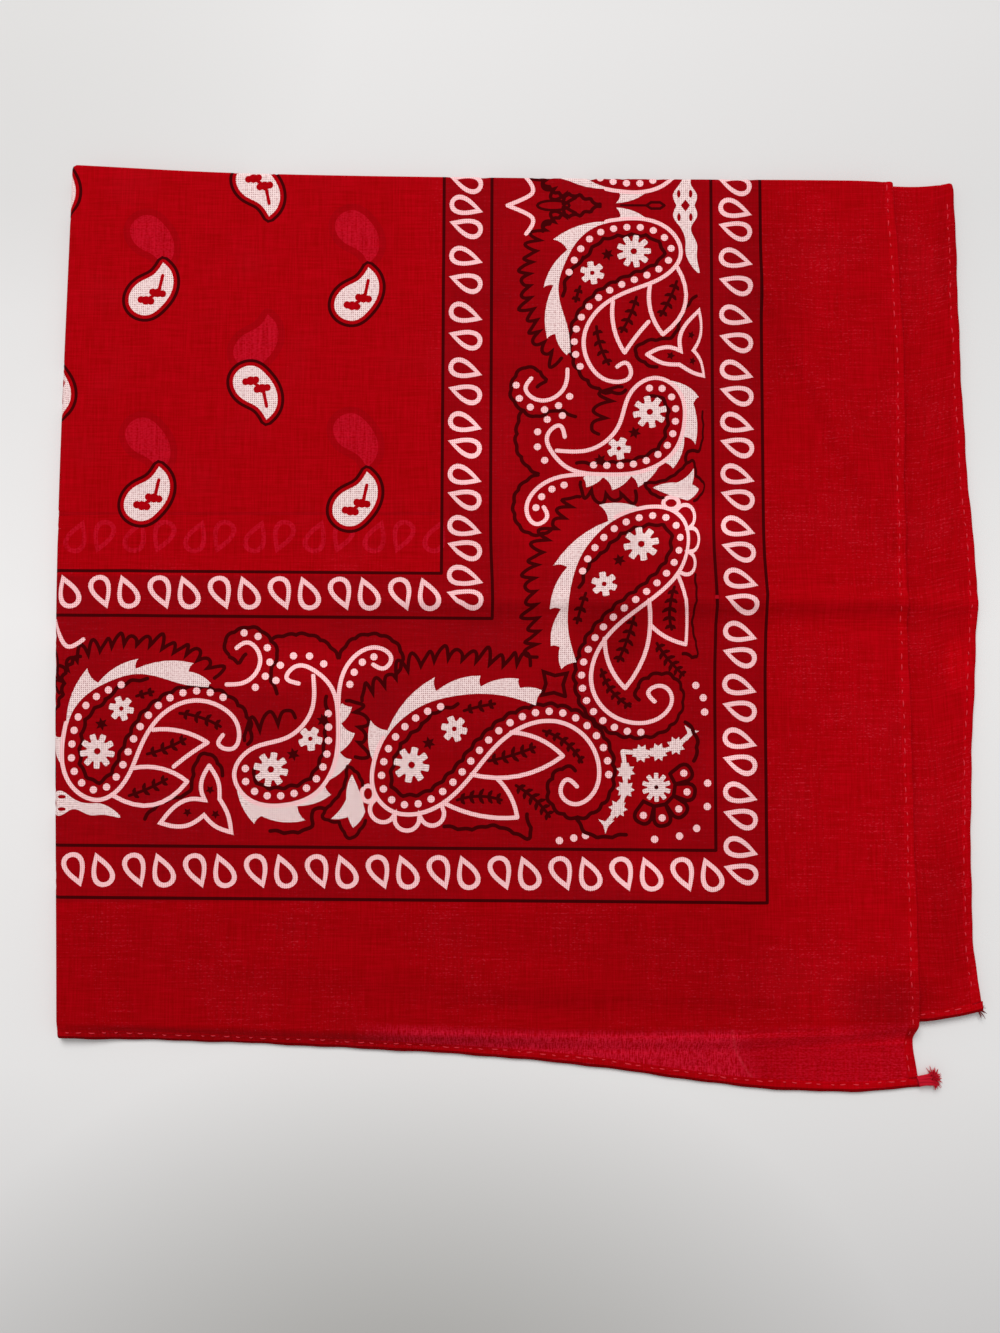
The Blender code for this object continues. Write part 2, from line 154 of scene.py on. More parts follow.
def backLine(p):
    # Where the back fold starts to turn: it is one line across both halves of the folded cloth.
    start, turn = fold["leftLineAt"], math.pi * fold["leftBend"]
    x = np.maximum(p, start) + np.maximum(start - turn - p, 0.0)
    return along("backFold", x) - fold["backBend"]


cornerDepth = backLine(fold["corner"])  # depth of the corner where both folds meet


def foldCloth(cut):
    # Two half-round bends, one after the other: q turns under along the back fold, and then
    # everything left of the left fold turns under, the inner layers on smaller radii.
    p, q = cut[..., 0], cut[..., 1]
    radius = fold["backBend"]
    start = backLine(p)
    turn = np.clip((q - start) / radius, 0.0, math.pi)
    y = np.minimum(q, start) + radius * np.sin(turn) - np.maximum(q - start - math.pi * radius, 0)
    depth = radius * (1.0 - np.cos(turn))
    left, bend = leftLine(y)
    roll = np.clip((left - p) / bend, 0.0, math.pi)
    x = np.maximum(p, left) + np.maximum(left - p - math.pi * bend, 0.0)
    x = x - (bend - depth) * np.sin(roll)
    share = dropShare(x, y, np.maximum(x - left, 0.0))
    flat = fold["table"] + (fold["stack"] - fold["table"]) * share - depth
    z = np.where(roll > 0, bend + (bend - depth) * np.cos(roll), flat)
    level = smooth((p - left) / fold["levelBeside"]) * smooth((start - q) / fold["levelBeside"])
    z = z + creaseHeight(creases, x, y) * fold["creaseLift"] * level * share
    strip = (roll >= math.pi) & (turn >= math.pi)
    z = z + creaseHeight(underCreases, x, y) * strip * smooth((x - fold["stripFrom"]) / 6.0)
    return np.stack([x, y, z], -1) - planCentre


def outward(cut):
    # Unit normals out of the printed side, from small steps over the folded form.
    step = 0.06
    right, up = np.array([step, 0.0]), np.array([0.0, step])
    normal = np.cross(foldCloth(cut + right) - foldCloth(cut - right),
                      foldCloth(cut + up) - foldCloth(cut - up))
    return normal / np.maximum(np.linalg.norm(normal, axis=-1, keepdims=True), 1e-9)


# The four cut edges of the square, and the lines where its folds end, all as places (p, q).
hidden = {  # how the hidden edges stand back from the ones that show
    "frontDepth": -110.0,  # depth of the front edges, for the left fold's radius
    "cornerFront": -116.2,  # front of the lowest layer at the left fold
    "cornerAt": -136.0,  # from here on it comes to its own line
    "cornerLong": 30.0,  # over this length
    "lowestBack": 1.0,  # how far it stands behind the third layer's front
    "secondBack": 2.5,  # the same for the second layer
    "secondIn": 1.2,  # how far the second layer's right edge is under the top one's
    "lowestIn": 1.0,  # how far the lowest layer's right edge is under the third one's
    "rightEnd": 128.0,  # where along the back fold the right edges turn round it
    "leftEnd": -290.0,  # and the right edges of the other half
}


def foldedX(p, y):  # where p lands to the right, for a point at depth y
    left, bend = leftLine(y)
    return np.maximum(p, left) + np.maximum(left - p - math.pi * bend, 0.0)


def foldedY(q, start):  # where q lands in depth, with the back fold's line at start
    return np.minimum(q, start) - np.maximum(q - start - math.pi * fold["backBend"], 0.0)


def frontEdge(p):
    # The top layer's front edge, and past the left fold the lowest layer's.
    x = foldedX(p, hidden["frontDepth"])
    under = along("underFront", x) + hidden["lowestBack"]
    front = hidden["cornerFront"]
    turned = smooth((x - hidden["cornerAt"]) / hidden["cornerLong"])
    lowest = front + (under - front) * turned
    return np.where(p > -139.0, along("topFront", p), lowest)


def rightEdge(q):
    # The top layer's right edge, and past the back fold the second layer's.
    start = backLine(hidden["rightEnd"])
    return along("topRight", foldedY(q, start)) - hidden["secondIn"] * smooth((q - start) / 10.0)


def farEdge(p):
    # The front edges of the second and third layers, at the far end of the square.
    left, bend = leftLine(0.0)
    back = hidden["secondBack"] * smooth((p - left) / (math.pi * bend) + 1.0)
    y = along("underFront", foldedX(p, 0.0)) + back
    return 2 * backLine(p) + math.pi * fold["backBend"] - y


def outerEdge(q):
    # The right edges of the lowest and third layers, at the left end of the square.
    start = backLine(hidden["leftEnd"])
    y = foldedY(q, start)
    left, bend = leftLine(np.maximum(y, -105.0))
    tuckedIn = hidden["lowestIn"] * (1.0 - smooth((q - start) / 6.0))
    return 2 * left - math.pi * bend - along("underRight", y) + tuckedIn


def leftEnd(q):  # where the left fold has turned by half a circle
    left, bend = leftLine(np.minimum(q, cornerDepth))
    return left - math.pi * bend


def backEnd(p):  # and the back fold
    return backLine(p) + math.pi * fold["backBend"]


def corner(edgeP, edgeQ, p, q):  # where an edge p(q) meets an edge q(p)
    for _ in range(4):
        p, q = float(edgeP(np.array(q))), float(edgeQ(np.array(p)))
    return p, q


def spaced(first, last, step):  # even places from first to last, about a step apart
    return np.linspace(first, last, max(2, int(round(abs(last - first) / step)) + 1))


# The print.

dyes = {  # numbers that the cloth's faces carry, the last three for hems and the other side
    "ground": 0, "white": 1, "milk": 2, "dark": 3, "ghost": 4, "ghostDark": 5,
    # hemShadeRim marks the hem's outer strips, which are painted darker as shade.
    "hemShadeRim": 7, "hem": 8, "back": 9,
}
printed = {
    "line": 1.3,  # width of the white strokes
    "thread": 1.2,  # and of the dark ones
    "dot": 2.35,  # diameter of the white dots
    "rulesDown": (124.4, 139.9, 210.9, 226.8),  # a of the four rules beside the middle
    "rulesAcross": (120.6, 134.8, 207.1, 223.2),  # b of the four below it
    "ruleWidth": 1.0,
    "askew": 0.008,  # the ruled borders run a little down to the right
    "fieldStart": (30.5, 27.5),  # (a, b) of one small motif of the field
    "fieldStep": ((66.3, 1.6), 66.8),  # step to the right with its fall, and step down
    "fieldTurned": (34.0, 34.4),  # from a motif to its neighbour that is turned over
    "fieldRims": (4.3, 2.3),  # widths of its dark and its red outline, half of each covered
    "chords": 8,  # chords between two points of a curve
}


class Marks:
    # Outlines with their dyes, in the order in which they are printed.
    def __init__(self):
        self.shapes = []

    def add(self, outline, dye):
        self.shapes.append((np.asarray(outline, float), dyes[dye]))

    def line(self, points, width, dye):
        self.add(stroke(points, width), dye)

    def dots(self, places):
        for place in places:
            self.add(disc(place, printed["dot"] / 2), "white")

    def take(self, other, change=lambda outline: outline):  # each outline moved by a function
        self.shapes += [(change(outline), dye) for outline, dye in other.shapes]


def curveThrough(points, each=printed["chords"]):
    # Natural cubic spline through the points, with the chords between them as its steps.
    p = np.array(points, float)
    gap = np.linalg.norm(np.diff(p, axis=0), axis=1)
    system, right = np.eye(len(p)), np.zeros((len(p), 2))
    i = np.arange(1, len(p) - 1)
    system[i, i - 1], system[i, i + 1] = gap[:-1], gap[1:]
    system[i, i] = 2 * (gap[:-1] + gap[1:])
    slope = np.diff(p, axis=0) / gap[:, None]
    right[i] = 6 * np.diff(slope, axis=0)
    bend = np.linalg.solve(system, right)
    t, h = (np.arange(each) / each)[None, :, None], gap[:, None, None]
    curve = (p[:-1, None] * (1 - t) + p[1:, None] * t
             + h * h / 6 * (((1 - t) ** 3 - (1 - t)) * bend[:-1, None]
                            + (t**3 - t) * bend[1:, None]))
    return np.vstack([curve.reshape(-1, 2), p[-1:]])


def stretch(curve, first, last):  # from one place along its points to another
    each = printed["chords"]
    return curve[int(first * each):int(last * each) + 1]


def bow(first, last, rise, count=9):
    # A shallow arc that stands 4 rise t (1 - t) to the left of its chord.
    first, last = np.array(first, float), np.array(last, float)
    t = np.linspace(0, 1, count)[:, None]
    way = (last - first) / np.linalg.norm(last - first)
    return first + (last - first) * t + np.array([way[1], -way[0]]) * 4 * rise * t * (1 - t)


def lengthAlong(points):  # distance of each point from the first one along the line
    return np.concatenate([[0], np.cumsum(np.linalg.norm(np.diff(points, axis=0), axis=1))])


def atLengths(points, at):  # places at given distances along the line
    s = lengthAlong(points)
    return np.stack([np.interp(at, s, points[:, 0]), np.interp(at, s, points[:, 1])], 1)


def resampled(points, step):  # the line with even steps
    return atLengths(points, spaced(0, lengthAlong(points)[-1], step))


def sideways(points):
    # Unit normals to the left of the way along, in (a, b) with b downwards, longer at corners.
    step = np.diff(points, axis=0)
    step = step / np.maximum(np.linalg.norm(step, axis=1, keepdims=True), 1e-9)
    mean = np.vstack([step[:1], step[:-1] + step[1:], step[-1:]])
    mean = mean / np.maximum(np.linalg.norm(mean, axis=1, keepdims=True), 1e-9)
    close = np.clip(np.concatenate([[1], (mean[1:-1] * step[1:]).sum(1), [1]]), 0.5, 1)
    return np.stack([mean[:, 1], -mean[:, 0]], 1) / close[:, None]


def beside(points, distance):  # the line moved to its left
    return points + sideways(points) * np.broadcast_to(distance, len(points))[:, None]


def stroke(points, width):
    # A band of that width along the points, its ends rounded.
    points = np.asarray(points, float)
    normal = sideways(points) * (np.broadcast_to(width, len(points))[:, None] / 2)
    ends = []
    for here, near, side in ((-1, -2, normal[-1]), (0, 1, -normal[0])):
        ahead = points[here] - points[near]
        ahead = ahead / np.linalg.norm(ahead) * np.linalg.norm(side) * 0.8
        ends.append([points[here] + side * 0.6 + ahead, points[here] - side * 0.6 + ahead])
    return np.vstack([points + normal, ends[0], (points - normal)[::-1], ends[1]])


def ring(centre, size, count=18):  # a closed ellipse
    turn = np.arange(count + 1) / count * 2 * math.pi
    return np.array(centre) + np.stack([size[0] * np.cos(turn), size[1] * np.sin(turn)], 1)


def disc(centre, radius, count=10):  # a circle without its last point, which is its first
    return ring(centre, (radius, radius), count)[:-1]


def petals(centre, radius, count, turn=0.2, depth=0.38):
    # Polar curve: a square-ended petal at each multiple of the angle, notches between.
    at = np.arange(count * 12) / (count * 12) * 2 * math.pi
    r = radius * (1 - depth / 2 + depth / 2 * np.tanh(4.0 * (np.cos(count * (at - turn)) + 0.35)))
    return np.array(centre) + np.stack([r * np.cos(at), r * np.sin(at)], 1)


def star(centre, radius, count, share=0.5, turn=0.3):
    # Tips on one circle, and notches between them on a smaller one.
    at = np.arange(count * 2) / (count * 2) * 2 * math.pi + turn
    r = radius * np.where(np.arange(count * 2) % 2, share, 1.0)
    return np.array(centre) + np.stack([r * np.cos(at), r * np.sin(at)], 1)


def dotsAlong(points, pitch):
    # Places at even steps along a curve, half a step from its ends.
    total = lengthAlong(points)[-1]
    count = max(1, round(total / pitch))
    return atLengths(points, (np.arange(count) + 0.5) * total / count)


def scallops(points, pitch=4.6, height=0.75):
    # Round bumps: the curve moved sideways by height |sin| of its length over the pitch.
    points = resampled(points, pitch / 7)
    s = lengthAlong(points)
    count = max(1, round(s[-1] / pitch))
    bump = height * (np.abs(np.sin(s / s[-1] * count * math.pi)) - 0.5)
    return beside(points, bump * (1 + 0.3 * np.sin(s * 0.9)))


def mane(points, pitch, height, lean=0.3):
    # A dark flame edge: out = height |cos|^0.75 of the length over the pitch, round at the tips
    # and sharp between them, each tip drawn forwards by lean of the pitch.
    total = lengthAlong(points)[-1]
    count = max(2, round(total / pitch))
    u = np.arange(count * 12 + 1) / 12 - 0.5
    rise = np.abs(np.cos(math.pi * u)) ** 0.75
    tall = height * (0.84 + 0.2 * np.sin(u * 2.3) + 0.12 * np.sin(u * 5.1))
    s = (u + 0.5 + lean * (rise - 0.3)) * total / count
    fine = resampled(points, 0.5)
    side, at = sideways(fine), lengthAlong(fine)
    normal = np.stack([np.interp(s, at, side[:, i]) for i in (0, 1)], 1)
    return atLengths(fine, s) + normal * (rise * tall)[:, None]


def crest(base, side, tips):
    # White flames on a base line: each bowed out to its tip and hollowed back to its notch.
    edge, here = [], base[0]
    for tip, notch in tips:
        edge += [bow(here, tip, side * 0.09 * math.dist(here, tip), 7)[:-1],
                 bow(tip, notch, -side * 0.12 * math.dist(tip, notch), 5)[:-1]]
        here = notch
    return np.vstack(edge + [beside(base, -side * printed["line"] / 2)[::-1]])


def lobes(base, count, height):
    # Half-round loops side by side on the base line.
    base = resampled(base, 0.5)
    t = (lengthAlong(base) / lengthAlong(base)[-1] * count) % 1.0
    return beside(base, height * np.sqrt(np.maximum(1 - (2 * t - 1) ** 2, 0.0)))


def sprig(marks, first, last, rise, pairs, size):
    # A dark stem with blunt leaves in pairs, smaller towards its ends.
    spine = bow(first, last, rise)
    marks.line(spine, 0.95, "dark")
    way = (spine[-1] - spine[0]) / np.linalg.norm(spine[-1] - spine[0])
    across = np.array([way[1], -way[0]])
    for i, place in enumerate(dotsAlong(spine, lengthAlong(spine)[-1] / pairs)):
        leaf = size * (1.0 - 0.35 * abs(2 * (i + 0.5) / pairs - 1))
        for side in (-1, 1):
            tip = place + way * leaf * 0.6 + across * side * leaf
            marks.line([place, (place + tip) / 2 + across * side * 0.2, tip],
                       np.array([0.9, 1.3, 0.7]), "dark")


# A paisley is one line from the end of its crest round the bulb to the curl, and what follows it.
# Its table gives (a, b) of the line's points and, with places along them as first and last:
#   crests    first, last, side, then the tip and the notch of each flame
#   stroke    first, last of the white line
#   dots      first, last, how far beside the line, pitch
#   scallops  first, last, how far beside the line at the first and at the last
#   flowers   middle, radius, petals
#   leaves    from, to, rise
#   sprigs    from, to, rise, pairs of leaves, their size
def paisley(marks, table):
    curve = curveThrough(table["line"])
    for first, last, away, end in table["scallops"]:
        run = stretch(curve, first, last)
        ramp = away + (end - away) * np.linspace(0, 1, len(run)) ** 2
        marks.line(scallops(beside(run, ramp)), printed["thread"], "dark")
    for first, last, side, tips in table["crests"]:
        base = stretch(curve, min(first, last), max(first, last))
        marks.add(crest(base if last > first else base[::-1], side, tips), "milk")
    marks.line(stretch(curve, *table["stroke"]), printed["line"], "white")
    for first, last, away, pitch in table["dots"]:
        marks.dots(dotsAlong(beside(stretch(curve, first, last), away), pitch))
    for place, radius, count in table["flowers"]:
        marks.add(petals(place, radius, count), "milk")
        marks.add(disc(place, radius * 0.2, 8), "ground")
    for place in table["stars"]:
        marks.add(star(place, 2.2, 6), "dark")
    for first, last, rise in table.get("leaves", []):
        marks.line(bow(first, last, rise), printed["line"], "white")
    for row in table.get("sprigs", []):
        sprig(marks, *row)


paisleyEnd = {  # beside the middle of the side
    "line": [(51, 155.5), (43, 154.6), (36, 152.5), (28, 151.4), (20, 153.6), (13, 157.4),
             (8, 163), (5.5, 172), (5.6, 181), (9.8, 188.6), (17.5, 191.5), (24.3, 187),
             (29.5, 176), (36, 165.3), (46, 160.4), (56, 163), (60.8, 170), (58.6, 175.6),
             (54.4, 174), (55.8, 171.2)],
    "crests": [(6.6, 0.0, 1, [((12.6, 150.2), (16.2, 154.8)), ((28.8, 147.2), (28, 150.4)),
                              ((46.2, 148.6), (44.6, 151.2)), ((51.8, 155), (51, 155.6))]),
               (8.1, 6.9, 1, [((1.4, 170.6), (5.4, 172))])],
    "stroke": (6.5, 19),
    "dots": [(3.4, 15.0, 3.0, 4.35)],
    "scallops": [(2.6, 4.6, 2.2, 5.6), (4.6, 16.6, 5.8, 3.6)],
    "flowers": [((16.4, 176.3), 5.5, 9), ((23.8, 162.9), 3.9, 6)],
    "stars": [(17.6, 167.8)],
    "leaves": [((33.6, 169.6), (51, 173.6), 1.6), ((51, 173.6), (40.4, 181.2), -0.3),
               ((27.6, 181.6), (44.8, 185.8), 2.0), ((44.8, 185.8), (21.6, 190.2), 5.2)],
    "sprigs": [((42, 164.4), (55, 168.6), 0.8, 4, 1.9), ((32, 177.2), (44, 172.4), -0.5, 4, 2.0),
               ((26.6, 190.2), (38.4, 185), -0.4, 4, 2.0),
               ((28.4, 159), (33.6, 157.6), 0.1, 2, 1.4)],
}
paisleyMiddle = {  # the one that stands the other way up, with a branch
    "line": [(84, 152.5), (83.6, 163.5), (76, 172), (64.5, 175.8), (59.5, 183.4), (64, 191.2),
             (75, 193.2), (85, 189.6), (91, 180), (92, 167.5), (90.2, 157), (84.5, 151),
             (78.2, 149.7), (75.6, 153.2), (79.5, 155)],
    "crests": [(4.4, 9.4, -1, [((66, 199), (68.2, 196.6)), ((82, 197.9), (79.4, 193.4)),
                               ((90, 189.9), (87.8, 186)), ((96.3, 178.9), (92.6, 176.6)),
                               ((97.3, 170.7), (93, 167.6)), ((96.3, 162.4), (92.4, 160.4))])],
    "stroke": (0, 14),
    "dots": [(3.4, 9.6, 3.0, 4.4), (10.7, 13.3, -3.4, 5.0)],
    "scallops": [(3.6, 9.9, 5.8, 3.0)],
    "flowers": [((71.0, 182.0), 5.4, 8), ((83.3, 172.4), 3.8, 5)],
    "stars": [(78, 177.3), (87.2, 166.6)],
}
paisleyLong = {  # beside the corner
    "line": [(154.5, 161.3), (147, 158.8), (138, 157.6), (128, 158.4), (119, 161), (112, 165.5),
             (107, 171), (103.3, 180), (103.5, 189), (109, 195), (117.5, 195.8), (125.5, 192.3),
             (134, 184), (143, 173.5), (152, 167.9), (161, 167), (169.5, 171.5), (174, 180.5),
             (172, 189.8), (165.8, 192.8), (162, 188.7), (164, 185.2), (167.2, 187.4)],
    "crests": [(7.0, 0.0, 1, [((102.2, 166.6), (107.6, 169.8)), ((122.4, 153), (122.9, 157.4)),
                              ((136.9, 152.5), (136.9, 156)), ((148.9, 153.5), (149.4, 156.4)),
                              ((156.5, 157.3), (154.4, 161.6))])],
    "stroke": (6.2, 22),
    "dots": [(3.3, 17.5, 3.0, 4.4)],
    "scallops": [(2.9, 4.6, 3.6, 5.8), (4.6, 21.4, 6.0, 3.7)],
    "flowers": [((115.2, 180.6), 5.6, 8), ((128.6, 169.3), 4.1, 6)],
    "stars": [(120.6, 173.8)],
    "leaves": [((146.4, 170.4), (162.8, 177.8), 1.8), ((162.8, 177.8), (134, 183.6), 3.4),
               ((142, 184.8), (148.4, 197), 1.2), ((148.4, 197), (125.6, 192.6), 1.7)],
    "sprigs": [((139.4, 179.4), (154, 175), -0.4, 5, 2.2),
               ((129.5, 191.6), (143.5, 191.6), 1.2, 5, 2.1),
               ((156.6, 169.9), (168.8, 179.8), 1.6, 6, 1.6),
               ((148, 187), (158.6, 196.8), 0.8, 6, 2.2),
               ((131.6, 163.6), (141.4, 161.4), 0.2, 3, 1.7)],
}

manes = [  # the dark flame edges: foot line, pitch, height
    ([(99.5, 160.5), (106, 157), (112, 152.8), (120, 149), (128, 147.8), (136, 148.8),
      (145, 149.8), (153, 149.4)], 4.5, 5.0),
    ([(4, 158), (7.5, 150), (14, 146), (22, 143.6), (31, 143.4), (40, 145.6), (48, 148.6),
      (53, 153.6)], 4.0, 4.4),
    ([(62.6, 173), (67, 170.6), (73.4, 168.4), (79.0, 165.6)], 5.2, 6.0),
    ([(94.5, 160.5), (97.6, 166), (98.2, 172), (97.4, 178.5)], 4.6, 4.2),
]
darkLines = [  # smooth dark lines that follow the white ones
    [(57, 146), (56, 141.6), (60, 138), (66, 137.6), (70.4, 141), (72.6, 145.5), (70.6, 151),
     (72.8, 158.2)],
    [(70.4, 141), (76, 139.6), (84, 140), (89.4, 143.4), (92, 146.8)],
    [(92, 146.8), (96, 141.2), (102.8, 139.4), (109.8, 142), (112.2, 147.6), (110, 152.4)],
    [(57.6, 146.4), (60.4, 148.4), (62.4, 145.6)],
    [(71, 201), (80, 201.5), (84.5, 198.5), (84, 195.5), (88, 194)],
    [(31.5, 197.4), (39.2, 191.4), (45.4, 189.2), (46.5, 184.6), (47.7, 179.4), (50.4, 177.0),
     (53.4, 178.6), (56, 184)],
    [(125.5, 199.6), (133, 200.7), (140, 199.7), (147, 201.6), (152.2, 203.6), (151.2, 196)],
]


def tendrils(marks):
    # The loops under the long paisley, and the two curls with their dots.
    bulb = stretch(curveThrough(paisleyLong["line"]), 8.3, 10.9)
    marks.line(lobes(bulb, 3, -5.0), printed["line"], "white")
    marks.line(ring((101.6, 189.6), (2.0, 2.5), 12), printed["line"], "white")
    branch = curveThrough([(92, 162), (93.4, 152), (98.4, 145.3), (105, 143.8), (108.6, 147.2),
                           (106.4, 150.2), (102.9, 149)])
    curl = curveThrough([(56.6, 155.3), (62.4, 154.6), (66.6, 150.4), (66.6, 145), (63, 142),
                         (59.6, 143.8)])
    for line in (branch, curl):
        marks.line(line, printed["line"], "white")
    marks.dots(dotsAlong(beside(stretch(branch, 0.5, 3.3), -3.0), 4.4))
    marks.dots(dotsAlong(beside(stretch(curl, 1.0, 4.5), -3.1), 4.4))


def tulip(marks):
    # A flower of three pointed petals: six curved sides, and a star in each petal.
    sides = [[(51.6, 180.8), (49.6, 184.6), (49.2, 188.4), (50.4, 191.6)],
             [(50.4, 191.6), (45.8, 191.3), (41.4, 193.3), (36.6, 198.7)],
             [(36.6, 198.7), (41.2, 199.8), (45.6, 199.3), (50.2, 196.3)],
             [(50.2, 196.3), (53.6, 199.6), (58.8, 201.6)],
             [(58.8, 201.6), (57.8, 196.4), (55.0, 191.2)],
             [(55.0, 191.2), (54.6, 186.2), (51.6, 180.8)]]
    outline = np.vstack([curveThrough(side)[:-1] for side in sides] + [[sides[0][0]]])
    marks.line(outline, printed["line"], "white")
    for place in ((45.0, 195.4), (52.0, 188.4), (53.8, 196.0)):
        marks.add(star(place, 1.5, 5), "dark")


def bud(marks):
    # The small white figure between two paisleys, of six shallow arcs, and its dark outline.
    for line in ([(101, 198), (96, 203.5), (92.5, 198.5)],
                 [(92.5, 198.5), (87.5, 197), (92.5, 190), (95, 181)],
                 [(95, 181), (98, 183), (100, 187)]):
        marks.line(scallops(curveThrough(line), 3.2, 0.3), 1.1, "dark")
    arcs = [((96.5, 183.6), 0.4), ((100.7, 195.2), 0.5), ((97, 200.2), 0.2), ((95.4, 196.8), 0.4),
            ((90, 197.4), -0.5), ((94.8, 191.2), 0.6)]  # start, rise to the next one's start
    marks.add(np.vstack([bow(start, arcs[(i + 1) % len(arcs)][0], rise)
                         for i, (start, rise) in enumerate(arcs)]), "milk")


def bandMotifs():
    # Everything between the rules of the lower band, right of the middle, up to the corner.
    marks = Marks()
    for foot, pitch, height in manes:
        marks.line(mane(curveThrough(foot), pitch, height), 1.15, "dark")
    for line in darkLines:
        marks.line(scallops(curveThrough(line), 4.4, 0.5), printed["thread"], "dark")
    for table in (paisleyEnd, paisleyMiddle, paisleyLong):
        paisley(marks, table)
    tendrils(marks)
    tulip(marks)
    bud(marks)
    return marks


def cornerMotifs():
    # The flower in the corner with its fan of petals, between two starred lines.
    marks = Marks()
    for line in ([(181.6, 176.4), (190, 176.8), (198, 174.8), (203, 170.8)],
                 [(181.6, 176.4), (182.4, 185), (180.4, 193.6), (176.2, 199)]):
        marks.line(curveThrough(line), 1.4, "milk")
    for place in ((187.4, 177), (192.8, 176.6), (198.3, 174.6), (182.5, 182.6), (182.3, 188.2),
                  (180, 194.2)):
        marks.add(star(place, 3.0, 8, 0.64, place[0]), "milk")
    marks.add(star((202.9, 170.4), 2.9, 3, 0.3, 1.95), "milk")
    marks.add(star((176.2, 199.2), 2.9, 3, 0.3, 1.65), "milk")
    flower = np.array([192.1, 187.6])
    marks.add(petals(flower, 4.5, 10, 0.3, 0.38), "milk")
    marks.add(disc(flower, 0.7, 8), "dark")
    for i in range(5):  # a fan of petals, each with its dot
        turn = math.radians(-27 + 35.6 * i)
        u = np.linspace(-1, 1, 15)
        far = 6.0 + 6.2 * np.maximum(1 - np.abs(u) ** 3, 0) ** 0.4
        spread = turn + u * 0.31
        lobe = flower + np.stack([far * np.cos(spread), far * np.sin(spread)], 1)
        marks.line(np.vstack([lobe, lobe[:1]]), printed["thread"], "dark")
        marks.add(disc(flower + 9.7 * np.array([math.cos(turn), math.sin(turn)]), 1.15), "white")
    marks.dots([(204.8, 155.6), (207.1, 159.5), (207.5, 164), (208.2, 186.3), (208, 193.6),
                (204.6, 200.4), (199.2, 202.8), (191.4, 203.8), (169.8, 202.6), (166.1, 203.4),
                (161.6, 204.2)])
    for line in ([(201.5, 167), (204.9, 172.4), (204.1, 179.5)],
                 [(167.2, 197.3), (169, 201), (175.4, 203.2), (182.5, 202.2)]):
        marks.line(scallops(curveThrough(line), 4.4, 0.5), printed["thread"], "dark")
    square = star((160.2, 155.2), 5.2, 4, 0.52, 0.85)
    marks.line(np.vstack([square, square[:1]]), printed["thread"], "dark")
    return marks


def middleMotifs():
    # The ornament on the middle of the right side, alike above and below it.
    half = Marks()
    half.line(curveThrough([(151.4, 9.6), (153.6, 4.4), (150.6, 2.2), (145.4, 0)]), 1.3, "white")
    half.line(scallops(curveThrough([(156.5, 8.5), (162, 3.9), (169, 3.2), (175.2, 0)]), 3.4, 0.9),
              printed["thread"], "dark")
    half.add(curveThrough([(200.2, 0), (199.1, 3.6), (201.2, 7.0), (203.0, 12), (203.3, 17),
                           (207.4, 22.4), (206.6, 17.5), (206.6, 12.5), (204.8, 7.4), (206.8, 3.6),
                           (206.0, 0)], 5), "milk")
    for a, lean in ((200.7, 0.25), (205.0, -0.2)):
        half.add(ring((a, 3.9), (0.62, 1.35), 10) + np.array([lean, 0]), "ground")
    marks = Marks()
    marks.take(half)
    marks.take(half, lambda o: o * np.array([1, -1]))
    marks.add(ring((203.1, 0), (1.5, 2.0), 4)[:-1], "ground")
    marks.line(ring((160.3, 0), (5.2, 1.6)), 0.9, "dark")
    marks.line([(182.2, 0.0), (186, 0.0), (190.2, 0.0)], 0.8, "dark")
    marks.line(ring((193.4, 0), (2.9, 1.2), 6), 0.9, "dark")
    return marks


dropShape = {
    "long": 11.2,
    "wide": 7.5,
    "bend": -0.7,  # how far the tip is drawn aside
    "stroke": 1.5,
    "narrow": 0.92,  # share of the width in the rows that run down
    "pitch": 9.52,  # step in the rows that run across
    "turns": (74, 23),  # degrees in the rows across and down, every other drop half round
}


def drop(marks, centre, turn, share=1.0, dye="white"):
    # Outline of a drop, half as wide as sin(t) sin(t/2)^1.25, its tip bent to one side, and a
    # smaller one in it: the stroke takes 2.6 of its width off the length and 2.1 off the width.
    long, wide = dropShape["long"], dropShape["wide"] * share
    t = np.arange(24) / 24 * 2 * math.pi
    u = np.cos(t) * 0.5
    v = np.sin(t) * np.sin(t / 2) ** 1.25 / 1.53
    rims = []
    for inset in (0.0, dropShape["stroke"]):
        x = u * (long - 2.6 * inset) - 0.35 * inset
        y = v * (wide - 2.1 * inset) + dropShape["bend"] * (u + 0.5) ** 2
        rims.append(np.stack([x, y], 1))
    c, s = math.cos(turn), math.sin(turn)
    rims = [rim @ np.array([[c, s], [-s, c]]) for rim in rims]
    middle = (rims[0].min(0) + rims[0].max(0)) / 2
    marks.add(rims[0] - middle + centre, dye)
    marks.add(rims[1] - middle + centre, "ground")


dropRows = [  # (a, b) of the corner drop, first (a, b) of the row across, step down, its growth
    ((131.6, 129.0), (120.8, 127.3), 7.75, 0.065),
    ((218.7, 214.4), (209.8, 214.6), 8.5, -0.004),
]


def askew(outline):  # run down to the right, and drawn aside where the largest crease is
    a, b = outline.T
    aside = 0.8 * np.exp(-(((b - 129) / 14) ** 2)) * (a > 130)
    return outline + np.stack([-0.004 * (b - 120) + aside, printed["askew"] * (a - 190)], 1)


def ruled(end):  # places along a rule, close together where it goes round the folds
    return np.concatenate([np.arange(-30, 12, 0.6), spaced(12, end, 6)])


